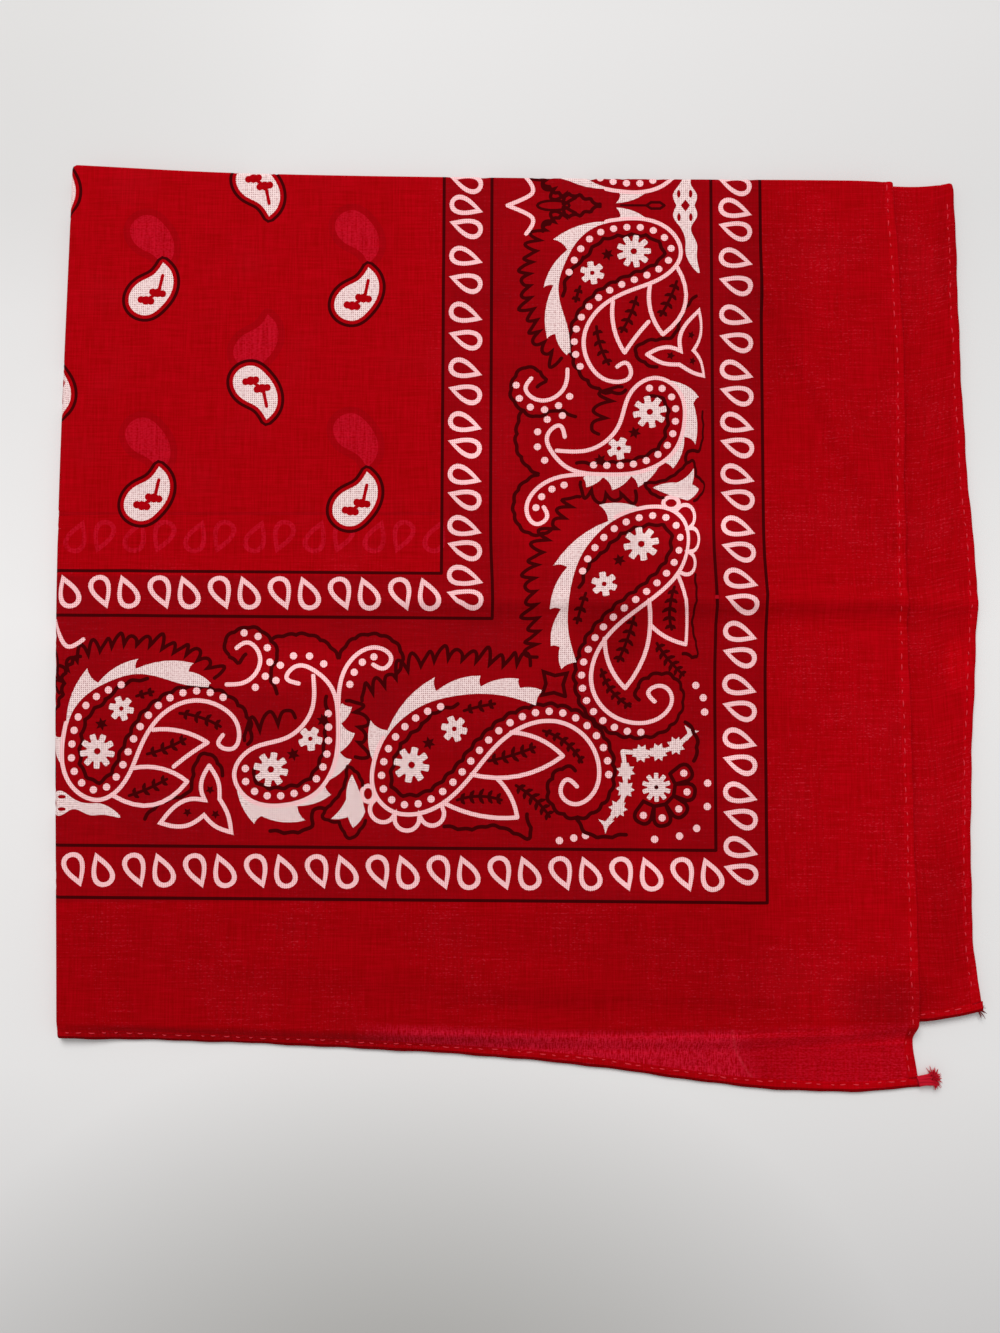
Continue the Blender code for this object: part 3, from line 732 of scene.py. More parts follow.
def borderMarks():
    # The ruled lines and the rows of drops between them, every other drop turned round.
    marks = Marks()
    for a, b in zip(printed["rulesDown"], printed["rulesAcross"]):
        marks.line([(a, x) for x in ruled(b)], printed["ruleWidth"], "dark")
        marks.line([(x, b) for x in ruled(a)], printed["ruleWidth"], "dark")
    across, down = dropShape["turns"]
    for (a, b), (first, level), step, growth in dropRows:
        for i in range(int((first + 10) / dropShape["pitch"])):
            turn = math.radians(across + 180 * (1 - i % 2))
            drop(marks, (first - i * dropShape["pitch"], level), turn)
        for i in range(int((b + 28) / step)):
            place = b - i * (step + growth * i)
            if growth > 0:  # closer together towards the back fold
                place += 0.0060 * max(17 - place, 0) ** 2
            else:  # and a little too far back beside it
                place -= 4.3 * math.exp(-((place - 13) / 26) ** 2)
            if place > -16:
                turn = math.radians(down + 180 * (1 - i % 2))
                drop(marks, (a, place), turn, dropShape["narrow"])
    both = Marks()
    both.take(marks, askew)
    both.take(marks, lambda outline: askew(outline * np.array([-1, 1]) - np.array([4.0, 0])))
    return both


def boteh(marks, centre, flip, ghost=False):
    # The field motif: a round foot drawn out to a bent tip, outlined, with a sprig inside.
    change = np.array([1.0, -1.0 if flip else 1.0])
    white = curveThrough([(3.7, -8.6), (0.6, -4.4), (-3.6, -2.1), (-6.6, 1.2), (-7.1, 4.9),
                          (-4.6, 8.2), (-0.4, 8.9), (3.4, 6.2), (6.3, 2), (7.2, -2.4),
                          (6, -6.2), (3.7, -8.6)], 5) * change + centre
    darkRim, redRim = printed["fieldRims"]
    marks.line(white, darkRim, "ghostDark" if ghost else "dark")
    if ghost:
        marks.add(white[:-1], "ghost")
        return
    marks.line(white, redRim, "ground")
    marks.add(white[:-1], "milk")
    for leaf in ((2.2, 1.6), (-1.5, 4.1)):  # two leaves of three lobes each, and their stem
        for lobe in (-1, 0, 1):
            place = centre + (np.array(leaf) + np.array([1.6 * lobe, 0.3 * lobe])) * change
            marks.add(disc(place, 1.5 - 0.3 * abs(lobe), 12), "ground")
    for way in (((-1.5, 4.1), (2.2, 1.6)), ((2.6, 1.0), (3.7, -4.3))):
        marks.line(np.array(way) * change + centre, 1.1, "ground")


def fieldPlaces():
    # Two crossed lattices, the second with its motifs turned over.
    a0, b0 = printed["fieldStart"]
    (stepA, fall), stepB = printed["fieldStep"]
    asideA, asideB = printed["fieldTurned"]
    return [(a0 + i * stepA + turned * asideA, b0 + i * fall + j * stepB + turned * asideB, turned)
            for i in range(-3, 2) for j in range(-4, 2) for turned in (False, True)]


def toSide(points):
    # The lower band laid along the right side: mirrored over the diagonal, and pulled a little
    # out of true towards the corner.
    x, y = points.T
    tight = 0.022 * np.maximum(y - 191.0, 0.0) ** 2
    return np.stack([y + 10.0 - 0.0002 * x * x - tight, 0.965 * x - 0.6], 1)


def toLower(points):  # the ornament of the right side laid on the lower one
    x, y = points.T
    return np.stack([y + 1.6, x - 10.4], 1)


def wholePrint():
    # One quarter of the print with what crosses its two middle lines, then its mirror images.
    quarter, whole = Marks(), Marks()
    band, middle = bandMotifs(), middleMotifs()
    quarter.take(band)
    quarter.take(band, toSide)
    quarter.take(cornerMotifs())
    for flip in ((1, -1), (-1, 1), (1, 1)):
        whole.take(quarter, lambda outline: outline * np.array(flip))
    whole.take(middle)
    whole.take(middle, toLower)
    whole.take(borderMarks())
    for a, b, flip in fieldPlaces():
        if abs(a) < 112 and -112 < b < 106:  # those that stand clear of the inner rules
            boteh(whole, np.array([a, b]), flip)
    return whole


printMiddle = (-143.0, 149.5)  # (p, q) of the middle of the print


def throughPrint():
    # What the layer below shows through the thin cloth, turned over by the back fold.
    line = printMiddle[1] - (backLine(0.0) + math.pi * fold["backBend"] / 2) - 2.2
    below = Marks()
    for a, b, flip in fieldPlaces():
        if 4 < a < 108 and -112 < b < -20:
            boteh(below, np.array([a, b + 1.9]), flip, ghost=True)
    below.line([(x, -126.0) for x in spaced(-4, 122, 6)], 1.1, "ghostDark")
    for i in range(14):
        turn = math.radians(dropShape["turns"][0] + 180 * (i % 2))
        drop(below, (122 - i * dropShape["pitch"], -133.4), turn, 1.0, "ghost")
    marks = Marks()
    marks.take(below, lambda outline: np.stack([outline[:, 0], 2 * line - outline[:, 1]], 1))
    return marks


def toCut(marks):  # from the print's (a, b) to the square's (p, q)
    p, q = printMiddle
    moved = Marks()
    moved.take(marks, lambda o: np.stack([o[:, 0] + p, q - o[:, 1]], 1))
    return moved


# How a flat cut becomes a folded cloth.

shell = {
    "clearFine": 0.7,  # how far free points stand from the outlines' own points
    "clearCoarse": 1.2,  # the same on the other side of the cloth
}


def windings(points, outline):
    # How often an outline goes round each point: crossings of the level line to its right.
    x, y = points[:, :1], points[:, 1:]
    x0, y0 = outline.T[:, None, :]
    x1, y1 = np.roll(outline, -1, 0).T[:, None, :]
    side = (x1 - x0) * (y - y0) - (x - x0) * (y1 - y0)
    up = (y0 <= y) & (y1 > y) & (side > 0)
    down = (y0 > y) & (y1 <= y) & (side < 0)
    return up.sum(1) - down.sum(1)


def inside(points, outline, block=4000):  # in blocks, to spare memory
    found = np.zeros(len(points), bool)
    low, high = outline.min(0), outline.max(0)
    near = np.nonzero(((points >= low) & (points <= high)).all(1))[0]
    for i in range(0, len(near), block):
        found[near[i:i + block]] = windings(points[near[i:i + block]], outline) != 0
    return found


def triangulate(border, outlines, free, epsilon=1e-4):
    # Constrained Delaunay triangles: every outline keeps its edges, and free points lie between.
    # Gives points, triangles, and which point each given one became.
    loops = [border] + outlines
    points = np.vstack(loops + [free])
    first = np.cumsum([0] + [len(loop) for loop in loops])
    lines = []
    for start, loop in zip(first, loops):
        index = np.arange(len(loop))
        lines += np.stack([start + index, start + (index + 1) % len(loop)], 1).tolist()
    made = delaunay_2d_cdt([Vector(p) for p in points.tolist()], lines, [], 0, epsilon)
    verts = np.array([(v.x, v.y) for v in made[0]])
    faces = np.array(made[2])
    middle = verts[faces].mean(1)
    faces = faces[inside(middle, border)]
    used, faces = np.unique(faces, return_inverse=True)
    kept = {i: n for n, i in enumerate(used.tolist())}
    owners = {}
    for out, sources in enumerate(made[3]):
        for source in sources:
            owners[source] = kept.get(out)
    return verts[used], faces.reshape(-1, 3), owners


def clearOf(points, outlines, border, cell):
    # The points that stand at least about a cell away from every outline's own points.
    solid = np.vstack(outlines + [border])
    low = np.minimum(points.min(0), solid.min(0)) - cell
    size = ((np.maximum(points.max(0), solid.max(0)) - low) / cell).astype(int) + 3
    taken = np.zeros(size, bool)
    at = ((solid - low) / cell).astype(int)
    for dx in (-1, 0, 1):
        for dy in (-1, 0, 1):
            column = np.clip(at[:, 0] + dx, 0, size[0] - 1)
            taken[column, np.clip(at[:, 1] + dy, 0, size[1] - 1)] = True
    own = ((points - low) / cell).astype(int)
    return points[~taken[own[:, 0], own[:, 1]]]


def borderEdges(faces):
    # The edges that only one triangle has, in that triangle's direction.
    pairs = np.vstack([faces[:, [0, 1]], faces[:, [1, 2]], faces[:, [2, 0]]])
    size = faces.max() + 1
    key = pairs[:, 0] * size + pairs[:, 1]
    back = pairs[:, 1] * size + pairs[:, 0]
    return pairs[~np.isin(key, back)]


def clothShell(name, border, marks, free, coarse, material):
    # The printed side from its cut, the other side 'cloth' further in, and a wall all round.
    border = np.asarray(border)
    low, high = border.min(0) - 1, border.max(0) + 1
    shapes = [(o, d) for o, d in marks.shapes
              if (o.max(0) > low).all() and (o.min(0) < high).all()]
    outlines = [o for o, d in shapes]
    free = clearOf(free[inside(free, border)], outlines, border, shell["clearFine"])
    verts, faces, _ = triangulate(border, outlines, free)
    middle = verts[faces].mean(1)
    dye = np.zeros(len(faces))
    for outline, code in shapes:
        dye[inside(middle, outline)] = code

    rim = borderEdges(faces)
    rimLoop = chained(rim)
    coarse = clearOf(coarse[inside(coarse, border)], [], border, shell["clearCoarse"])
    backVerts, backFaces, owners = triangulate(verts[rimLoop], [], coarse)
    backOf = {v: owners[i] for i, v in enumerate(rimLoop)}

    outer = foldCloth(verts)
    outerNormal = outward(verts)
    backNormal = outward(backVerts)
    inner = foldCloth(backVerts) - backNormal * fold["cloth"]
    shift = len(outer)
    walls = []
    for i, j in rim.tolist():
        walls.append((j, i, backOf[i] + shift))
        walls.append((j, backOf[i] + shift, backOf[j] + shift))
    walls = np.array(walls)
    allVerts = np.vstack([outer, inner])
    allFaces = np.vstack([faces, backFaces[:, ::-1] + shift, walls])
    wallNormal = np.cross(allVerts[walls[:, 1]] - allVerts[walls[:, 0]],
                          allVerts[walls[:, 2]] - allVerts[walls[:, 0]])
    wallNormal /= np.maximum(np.linalg.norm(wallNormal, axis=1, keepdims=True), 1e-12)
    normals = np.vstack([outerNormal[faces].reshape(-1, 3),
                         -backNormal[backFaces[:, ::-1]].reshape(-1, 3),
                         np.repeat(wallNormal, 3, axis=0)])
    cut = np.vstack([verts, backVerts])[allFaces.ravel()] * mm
    obj = meshFrom(name, allVerts, allFaces, material, normals, cut,
                   np.concatenate([dye, np.full(len(allFaces) - len(dye), float(dyes["back"]))]))
    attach(obj, "root")
    print(name, len(allFaces), "triangles")
    return obj


def chained(rim):  # border edges as one loop of vertices
    after = dict(rim.tolist())
    start = int(rim[0, 0])
    loop, at = [start], after[start]
    while at != start:
        loop.append(at)
        at = after[at]
    return loop


def meshFrom(name, verts, faces, material, normals=None, cut=None, dye=None):
    # A smooth mesh in metres, with its place in the cut as UV and a dye number on each face.
    mesh = bpy.data.meshes.new(name)
    faces = np.asarray(faces)
    count, sides = faces.shape
    mesh.vertices.add(len(verts))
    mesh.vertices.foreach_set("co", (np.asarray(verts) * mm).astype(np.float32).ravel())
    mesh.loops.add(count * sides)
    mesh.loops.foreach_set("vertex_index", faces.astype(np.int32).ravel())
    mesh.polygons.add(count)
    mesh.polygons.foreach_set("loop_start", np.arange(0, count * sides, sides, dtype=np.int32))
    mesh.update(calc_edges=True)
    mesh.polygons.foreach_set("use_smooth", np.ones(count, bool))
    if cut is not None:
        mesh.uv_layers.new(name="cut").uv.foreach_set("vector", cut.astype(np.float32).ravel())
    if dye is not None:
        onFaces = mesh.attributes.new("dye", "FLOAT", "FACE")
        onFaces.data.foreach_set("value", dye.astype(np.float32))
    if normals is not None:
        mesh.normals_split_custom_set(normals.tolist())
    mesh.validate()
    mesh.materials.append(material)
    obj = bpy.data.objects.new(name, mesh)
    bpy.context.scene.collection.objects.link(obj)
    return obj


# The materials.

class Wire:
    # A socket in an expression: each operator adds a Math node.
    def __init__(self, paint, socket):
        self.paint, self.socket = paint, socket

    def maths(self, operation, *others, clamp=False):
        values = {i: v for i, v in enumerate((self,) + others)}
        settings = {"operation": operation, "use_clamp": clamp}
        return self.paint.make("ShaderNodeMath", settings, values)

    def __add__(self, other):
        return self.maths("ADD", other)

    def __sub__(self, other):
        return self.maths("SUBTRACT", other)

    def __rsub__(self, other):
        return self.paint.make("ShaderNodeMath", {"operation": "SUBTRACT"}, {0: other, 1: self})

    def __mul__(self, other):
        return self.maths("MULTIPLY", other)

    def __truediv__(self, other):
        return self.maths("DIVIDE", other)

    def __pow__(self, other):
        return self.maths("POWER", other)

    __radd__ = __add__
    __rmul__ = __mul__

    def clamped(self):
        return self.maths("ADD", 0.0, clamp=True)


class Paint:
    # One material's nodes.
    def __init__(self, name):
        self.material = bpy.data.materials.new(name)
        self.material.use_nodes = True
        self.tree = self.material.node_tree
        self.shader = self.tree.nodes["Principled BSDF"]

    def make(self, kind, settings=None, values=None, output=0):
        # A node with its settings, its inputs' values or wires, and the output that is used.
        node = self.tree.nodes.new(kind)
        for key, value in (settings or {}).items():
            if key == "stops":
                elements = node.color_ramp.elements  # two are there from the start
                for i, (position, colour) in enumerate(value):
                    stop = elements[i] if i < 2 else elements.new(position)
                    stop.position, stop.color = position, colour
            else:
                setattr(node, key, value)
        for key, value in (values or {}).items():
            self.feed(node.inputs[key], value)
        return Wire(self, node.outputs[output])

    def feed(self, socket, value):  # a wire is linked, and anything else is set
        if isinstance(value, Wire):
            self.tree.links.new(value.socket, socket)
        else:
            socket.default_value = value

    def into(self, name, value):
        self.feed(self.shader.inputs[name], value)

    def mix(self, share, first, second):  # colours, with that share of the second
        return self.make("ShaderNodeMix", {"data_type": "RGBA"}, {0: share, 6: first, 7: second}, 2)

    def noise(self, place, scale, detail=2.0, roughness=0.5, dimensions="2D"):
        return self.make("ShaderNodeTexNoise", {"noise_dimensions": dimensions},
                         {"Vector": place, "Scale": scale, "Detail": detail,
                          "Roughness": roughness})

    def vector(self, x, y, z=0.0):
        return self.make("ShaderNodeCombineXYZ", None, {0: x, 1: y, 2: z})


cotton = {
    "red": (0.455, 0.0002, 0.0046, 1),
    "deepRed": (0.360, 0.0001, 0.0014, 1),
    "paleRed": (0.700, 0.042, 0.070, 1),  # worn places
    "bandRed": (0.230, 0.0012, 0.0040, 1),  # between the outer and the inner rules
    "bandShare": 0.55,
    "bandMiddle": (-145.0, 149.5),  # (p, q)
    "bandGrown": 2.0,  # how far past the rules beside it the band reaches
    "white": (1.000, 0.600, 0.610, 1),  # thin strokes
    "milk": (0.960, 0.740, 0.720, 1),  # filled shapes
    "milkThread": (0.180, 0.040, 0.045, 1),
    "milkWorn": (0.560, 0.300, 0.300, 1),
    "dark": (0.058, 0.0006, 0.0014, 1),
    "ghost": (0.680, 0.010, 0.036, 1),  # white print that shows through from below
    "ghostDark": (0.360, 0.0003, 0.0015, 1),
    # The thin colour is painted light: the white table shining through a single layer.
    "thin": (0.700, 0.0110, 0.0400, 1),  # where one layer alone lies on the table
    "thinBelow": -127.6,  # depth of that place's edge
    "back": (0.430, 0.004, 0.012, 1),
    "sheen": (0.9, 0.10, 0.14, 1),
    # Some patches are worn places, others painted light and shade of folds and edges.
    "patches": [  # soft brighter and duller places: middle, half widths, change
        (-10, 55, 15, 20, 0.20), (55, 30, 20, 12, 0.30), (40, -80, 30, 8, 0.15),
        (65, -45, 10, 12, 0.20), (30, -5, 15, 10, -0.20), (80, 105, 15, 50, -0.15),
        (115, -120, 20, 12, -0.30), (145, 125, 10, 35, -0.15), (-70, -15, 35, 10, 0.20),
        (135, -95, 10, 35, -0.15), (140, -15, 5, 10, 0.25), (10, 30, 20, 12, 0.15)],
    "threadPitch": 0.62,
}


def yarn(paint, x, y):
    # Plain weave: threads rounded as |sin| of their place, over and under each other in turns,
    # each with its own tone. Long thin noise along both ways makes them uneven.
    warp, weft = x / cotton["threadPitch"], y / cotton["threadPitch"]
    warpNo, weftNo = warp.maths("FLOOR"), weft.maths("FLOOR")
    oneWay = {"noise_dimensions": "1D"}
    warpTone = paint.make("ShaderNodeTexWhiteNoise", oneWay, {"W": warpNo})
    weftTone = paint.make("ShaderNodeTexWhiteNoise", oneWay, {"W": weftNo + 311.5})
    warpRound = (warp * math.pi).maths("SINE").maths("ABSOLUTE")
    weftRound = (weft * math.pi).maths("SINE").maths("ABSOLUTE")
    over = (warpNo + weftNo).maths("MODULO", 2.0).maths("ABSOLUTE")
    across = paint.noise(paint.vector(x * 1.9, y * 0.09), 1.0, 3.0, 0.62)
    downward = paint.noise(paint.vector(x * 0.09, y * 1.9), 1.0, 3.0, 0.62)
    return {
        "weave": warpRound * over + weftRound * (1.0 - over),
        "hole": (1.0 - warpRound) * (1.0 - weftRound),
        "tone": warpTone + weftTone - 1.0,
        "across": across,
        "downward": downward,
        "streak": (across + downward) * 0.5,
        "cloud": paint.noise(paint.vector(x, y), 0.035, 3.0, 0.5),
        "slub": paint.noise(paint.vector(x * 1.1 + 40.0, y * 2.0), 1.0, 1.0, 0.5),
    }


def groundColour(paint, threads, x, y, plain):
    # Red in two depths by the streaks, paler where threads are worn, darker in the print's band.
    streak, cloud, slub = threads["streak"], threads["cloud"], threads["slub"]
    middleX, middleY = cotton["bandMiddle"]
    a, b = (x - middleX).maths("ABSOLUTE"), (middleY - y).maths("ABSOLUTE")
    past, short = [(a - (printed["rulesDown"][rule] + cotton["bandGrown"])).maths(
        "MAXIMUM", b - printed["rulesAcross"][rule]) for rule in (0, 3)]
    ground = paint.mix(((streak - 0.36) * 3.4).clamped(), cotton["deepRed"], cotton["red"])
    fleck = ((slub * 0.7 + threads["downward"] * 0.5 - 0.70) * 6.0).clamped()
    fleck = fleck * ((cloud - 0.36) * 4.0).clamped() * ((past + 10.0) * 0.05).clamped()
    worn = fleck * 0.36 + ((cloud - 0.56) * 2.0).clamped() * 0.05
    ground = paint.mix(worn.clamped(), ground, cotton["paleRed"])
    if plain:
        return ground
    band = (past + 0.5).clamped() * (0.5 - short).clamped()
    share = band * (cloud * 1.1 + 0.4) * (0.7 + slub * 0.6) * cotton["bandShare"]
    return paint.mix(share.clamped(), ground, cotton["bandRed"])


def thinColour(paint, threads, colour, x, y, right, back):
    # Where one layer alone lies on the table it is brighter, with painted light of the white table
    # shining through it: in dashes left of a fold mark, mottled right of it. Gives the colour, how
    # much it is alone, and the painted light on the step down to the table, where the stack shades
    # it.
    slub = threads["slub"]
    edge = back - cotton["thinBelow"] - (right - 34.0) ** 2.0 * 0.0004
    alone = (edge * -0.5 - 0.2).clamped() * ((right + 51.0) * 0.05).clamped()
    left = ((72.0 - right - edge * 0.3) * 0.14).clamped()
    dashes = paint.noise(paint.vector(x * 2.4, y * 0.4), 1.0, 2.0, 0.6)
    dashes = (dashes * 3.4 + slub * 1.2 - 1.85).clamped() * left * 0.80
    mottled = (slub * 2.2 + threads["downward"] - 1.30).clamped() * (1.0 - left) * 0.40
    # Painted light of the white table shining through the single layer.
    colour = paint.mix(alone * (dashes + mottled), colour, cotton["thin"])
    bent = (edge + 1.5) * (0.30 - (edge + 10.0) * 0.02)
    mark = 1.0 - (right - 66.5 + bent).maths("ABSOLUTE") * 1.3
    colour = paint.mix(alone * mark.clamped() * slub * 0.5, colour, cotton["paleRed"])
    # Painted light on the step down to the table, which the stack above shades.
    stepLight = (1.0 - ((edge + 5.6) / 3.6) ** 2.0).clamped() * ((right + 20.0) * 0.02).clamped()
    # A darker line along the top of the step.
    rim = (1.0 - (edge - 0.6).maths("ABSOLUTE") * 0.8).clamped()
    rim = rim * ((right + 65.0) * 0.05).clamped()
    return paint.mix(rim * 0.25, colour, cotton["ghostDark"]), alone, stepLight


def printColour(paint, threads, colour, isDye):
    # The dyes over the ground. The red weave shows in the white ones as a worn grid.
    across, slub = threads["across"], threads["slub"]
    faint = (across * 1.6 + slub * 1.6 - 1.0).clamped()
    colour = paint.mix(isDye("ghost") * faint * 0.46, colour, cotton["ghost"])
    colour = paint.mix(isDye("ghostDark") * 0.28, colour, cotton["bandRed"])
    colour = paint.mix(isDye("dark"), colour, cotton["dark"])
    colour = paint.mix(isDye("white"), colour, cotton["white"])
    grid = ((threads["hole"] - 0.16) * 3.0).clamped()
    worn = ((threads["streak"] + slub - 0.94) * 2.6).clamped() * 0.55
    milk = paint.mix(worn, cotton["milk"], cotton["milkWorn"])
    milk = paint.mix((grid * (slub * 1.4 + 0.3)).clamped(), milk, cotton["milkThread"])
    colour = paint.mix(isDye("milk"), colour, milk)
    colour = paint.mix(isDye("white") * grid * 0.8, colour, cotton["red"])
    return paint.mix(isDye("back"), colour, cotton["back"])


def toneAndPaintedLight(right, back, alone):
    # Brighter at the back right, painted shade along the front, where the light falls off, and the
    # soft patches, some worn places and others painted light and shade of folds and edges: 1 minus
    # the square of the distance in half widths.
    brighterBackRight = ((right - 78.0) * 0.04).clamped() * ((70.0 - back) * 0.012).clamped()
    # Painted shade along the front, where the light falls off.
    frontShade = ((-87.0 - back) * 0.15).clamped() * ((88.0 - right) * 0.04).clamped() * (1.0 - alone)
    toneAndLight = brighterBackRight * 0.11 - frontShade * 0.10
    for middleX, middleY, halfX, halfY, change in cotton["patches"]:
        away = ((right - middleX) / halfX) ** 2.0 + ((back - middleY) / halfY) ** 2.0
        toneAndLight = toneAndLight + (1.0 - away).clamped() * change
    return toneAndLight


def clothMaterial(name, tone=1.0, plain=False, thin=False):
    # Printed or plain cotton; x and y are places in the cut, right and back in the folded cloth.
    paint = Paint(name)
    uv = paint.make("ShaderNodeUVMap", {"uv_map": "cut"})
    x, y = [paint.make("ShaderNodeSeparateXYZ", None, {0: uv}, i) * 1000.0 for i in (0, 1)]
    where = paint.make("ShaderNodeTexCoord", None, None, 3)
    right, back = [paint.make("ShaderNodeSeparateXYZ", None, {0: where}, i) * 1000.0
                   for i in (0, 1)]
    dye = paint.make("ShaderNodeAttribute", {"attribute_name": "dye"}, None, 2)

    def isDye(dyeName):
        return dye.maths("COMPARE", float(dyes[dyeName]), 0.4)

    threads = yarn(paint, x, y)
    colour = groundColour(paint, threads, x, y, plain)
    tones = (0.94 + threads["weave"] * 0.05 + threads["tone"] * 0.045
             + (threads["streak"] - 0.5) * 0.22) * tone
    alone = 0.0
    if thin:
        colour, alone, stepLight = thinColour(paint, threads, colour, x, y, right, back)
        # The painted light on the step down to the table.
        tones = tones * (1.0 + stepLight * 0.45)
    if not plain:
        colour = printColour(paint, threads, colour, isDye)
    tones = tones * (1.0 + toneAndPaintedLight(right, back, alone))
    if plain:
        # Painted shade on the hem's outer strips.
        tones = tones * (1.0 - isDye("hemShadeRim") * 0.50)
    else:
        tones = tones + (isDye("white") + isDye("milk")) * 0.07
    shade = paint.vector(tones, tones, tones)
    multiply = {"operation": "MULTIPLY"}
    paint.into("Base Color", paint.make("ShaderNodeVectorMath", multiply, {0: colour, 1: shade}))
    height = threads["weave"] * 0.05 + threads["streak"] * 0.12
    relief = {"Strength": 0.5, "Distance": 0.0004, "Height": height}
    paint.into("Normal", paint.make("ShaderNodeBump", None, relief))
    paint.into("Roughness", 0.88)
    paint.into("Specular IOR Level", 0.02)
    paint.into("Sheen Weight", 0.02)
    paint.into("Sheen Roughness", 0.45)
    paint.into("Sheen Tint", cotton["sheen"])
    return paint.material


def plainMaterial(name, colour, roughness, gloss):  # one colour all over, for threads
    paint = Paint(name)
    paint.into("Base Color", colour)
    paint.into("Roughness", roughness)
    paint.into("Specular IOR Level", gloss)
    return paint.material


clothRed = clothMaterial("printedCotton")
topRed = clothMaterial("printedCottonTop", thin=True)
print("materials made")

# The cloth itself.

hem = {
    "width": 3.2,
    "tuck": 3.0,  # how far inside its edge the single cloth ends
    "rise": 0.22,  # how far it stands over the printed side
    "station": 0.75,  # step between its cross sections
    "stitchIn": 2.4,  # the stitches from the edge
    "stitchPitch": 3.8,
    "stitchWidth": 0.40,
    "wander": 0.24,  # unevenness of the rolled edge
    # The rim's strips are painted darker as shade.
    "rimColumns": [0, 1, 2, -1, -2],  # strips of the section at its outer rim, outermost first
}
grain = {  # steps between the free points of a layer
    "top": 2.6, "topBack": 6.0, "slope": 2.2, "slopeBack": 3.0,
    "lowest": 3.2, "third": 3.0, "second": 8.0, "underBack": 7.0,
    "parted": -400.0,  # p where the third layer's shown strip ends
}


def rollGrid(lineOf, along0, along1, stepAlong, turns, acrossP):
    # Rows of free points that follow a fold round its bend.
    at = spaced(along0, along1, stepAlong)
    start, length = lineOf(at)
    rows = start[:, None] + np.linspace(0, 1, turns)[None, :] * length[:, None]
    other = np.broadcast_to(at[:, None], rows.shape)
    pair = (rows, other) if acrossP else (other, rows)
    return np.stack([pair[0].ravel(), pair[1].ravel()], 1)


def evenGrid(low, high, step):
    # Free points on a triangular lattice.
    x, y = np.meshgrid(np.arange(low[0], high[0], step), np.arange(low[1], high[1], step * 0.866))
    x = x + (np.arange(len(y)) % 2)[:, None] * step / 2
    return np.stack([x.ravel(), y.ravel()], 1)


def leftRoll(y):  # where the left fold starts, and how far it reaches in the cut
    left, bend = leftLine(np.minimum(y, cornerDepth))
    return left, -math.pi * bend


def backRoll(p):  # and the back fold
    return backLine(p), np.full(np.shape(p), math.pi * fold["backBend"])


def flatGrid(points):  # the points that lie off both folds and off the slope in front
    p, q = points.T
    left, bend = leftLine(np.minimum(q, cornerDepth))
    back = backLine(p)
    inLeft = (p < left + 0.4) & (p > left - math.pi * bend - 0.4)
    inBack = (q > back - 0.4) & (q < back + math.pi * fold["backBend"] + 0.4)
    inSlope = (p > left) & (np.abs(q - along("underFront", p) + 3.4) < 4.8)
    return points[~(inLeft | inBack | inSlope)]


def slopeGrid(step):  # rows of free points that follow the slope in front
    p = spaced(-134.0, 129.0, step)
    q = along("underFront", p)[:, None] + np.linspace(-7.6, 0.8, 10)[None, :]
    return np.stack([np.broadcast_to(p[:, None], q.shape).ravel(), q.ravel()], 1)


# Corners of the single cloth: 0 to 3 round the top layer from its front left, with 2 and 3 where
# the back fold ends, and 4 to 6 round the rest of the square from its far right.
tuck = hem["tuck"]
p0, q0 = corner(leftEnd, lambda p: frontEdge(p) + tuck, -145.0, -113.0)
p1, q1 = corner(lambda q: rightEdge(q) - tuck, lambda p: frontEdge(p) + tuck, 128.0, -129.0)
p2, q2 = corner(lambda q: rightEdge(q) - tuck, backEnd, 125.0, 162.0)
p3, q3 = corner(leftEnd, backEnd, -145.0, 165.0)
p4, q4 = corner(lambda q: rightEdge(q) - tuck, lambda p: farEdge(p) - tuck, 124.0, 425.0)
p5, q5 = corner(lambda q: outerEdge(q) + tuck, lambda p: farEdge(p) - tuck, -430.0, 425.0)
p6, q6 = corner(lambda q: outerEdge(q) + tuck, lambda p: frontEdge(p) + tuck, -430.0, -108.0)


def sideP(first, last, edge, step=2.0):  # border points at even p
    p = spaced(first, last, step)[:-1]
    return np.stack([p, edge(p)], 1)


def sideQ(first, last, edge, step=2.0):  # border points at even q
    q = spaced(first, last, step)[:-1]
    return np.stack([edge(q), q], 1)


topBorder = np.vstack([
    sideP(p0, p1, lambda p: frontEdge(p) + tuck),
    sideQ(q1, q2, lambda q: rightEdge(q) - tuck),
    sideP(p2, p3, backEnd),
    sideQ(q3, q0, leftEnd),
])
underBorder = np.vstack([
    sideP(p0, p6, lambda p: frontEdge(p) + tuck),
    sideQ(q6, q5, lambda q: outerEdge(q) + tuck),
    sideP(p5, p4, lambda p: farEdge(p) - tuck),
    sideQ(q4, q2, lambda q: rightEdge(q) - tuck),
    sideP(p2, p3, backEnd),
    sideQ(q3, q0, leftEnd),
])[::-1]

squarePrint = toCut(wholePrint())
shownThrough = toCut(throughPrint())
topPrint = Marks()
topPrint.shapes = shownThrough.shapes + squarePrint.shapes
print("print drawn:", len(squarePrint.shapes), "shapes")

# Rows of free points round the folds: from, to, step along the fold, points round the bend.
rolls = np.vstack([rollGrid(leftRoll, q0, q3, 1.3, 12, True),
                   rollGrid(backRoll, p3, p2, 1.3, 9, False)])
topFree = np.vstack([flatGrid(evenGrid((p3, q1), (p1, q2), grain["top"])),
                     slopeGrid(grain["slope"]), rolls])
topCoarse = np.vstack([flatGrid(evenGrid((p3, q1), (p1, q2), grain["topBack"])),
                       slopeGrid(grain["slopeBack"]), rolls[::2]])
topCloth = clothShell("topCloth", topBorder, topPrint, topFree, topCoarse, topRed)
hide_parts("top_layer")

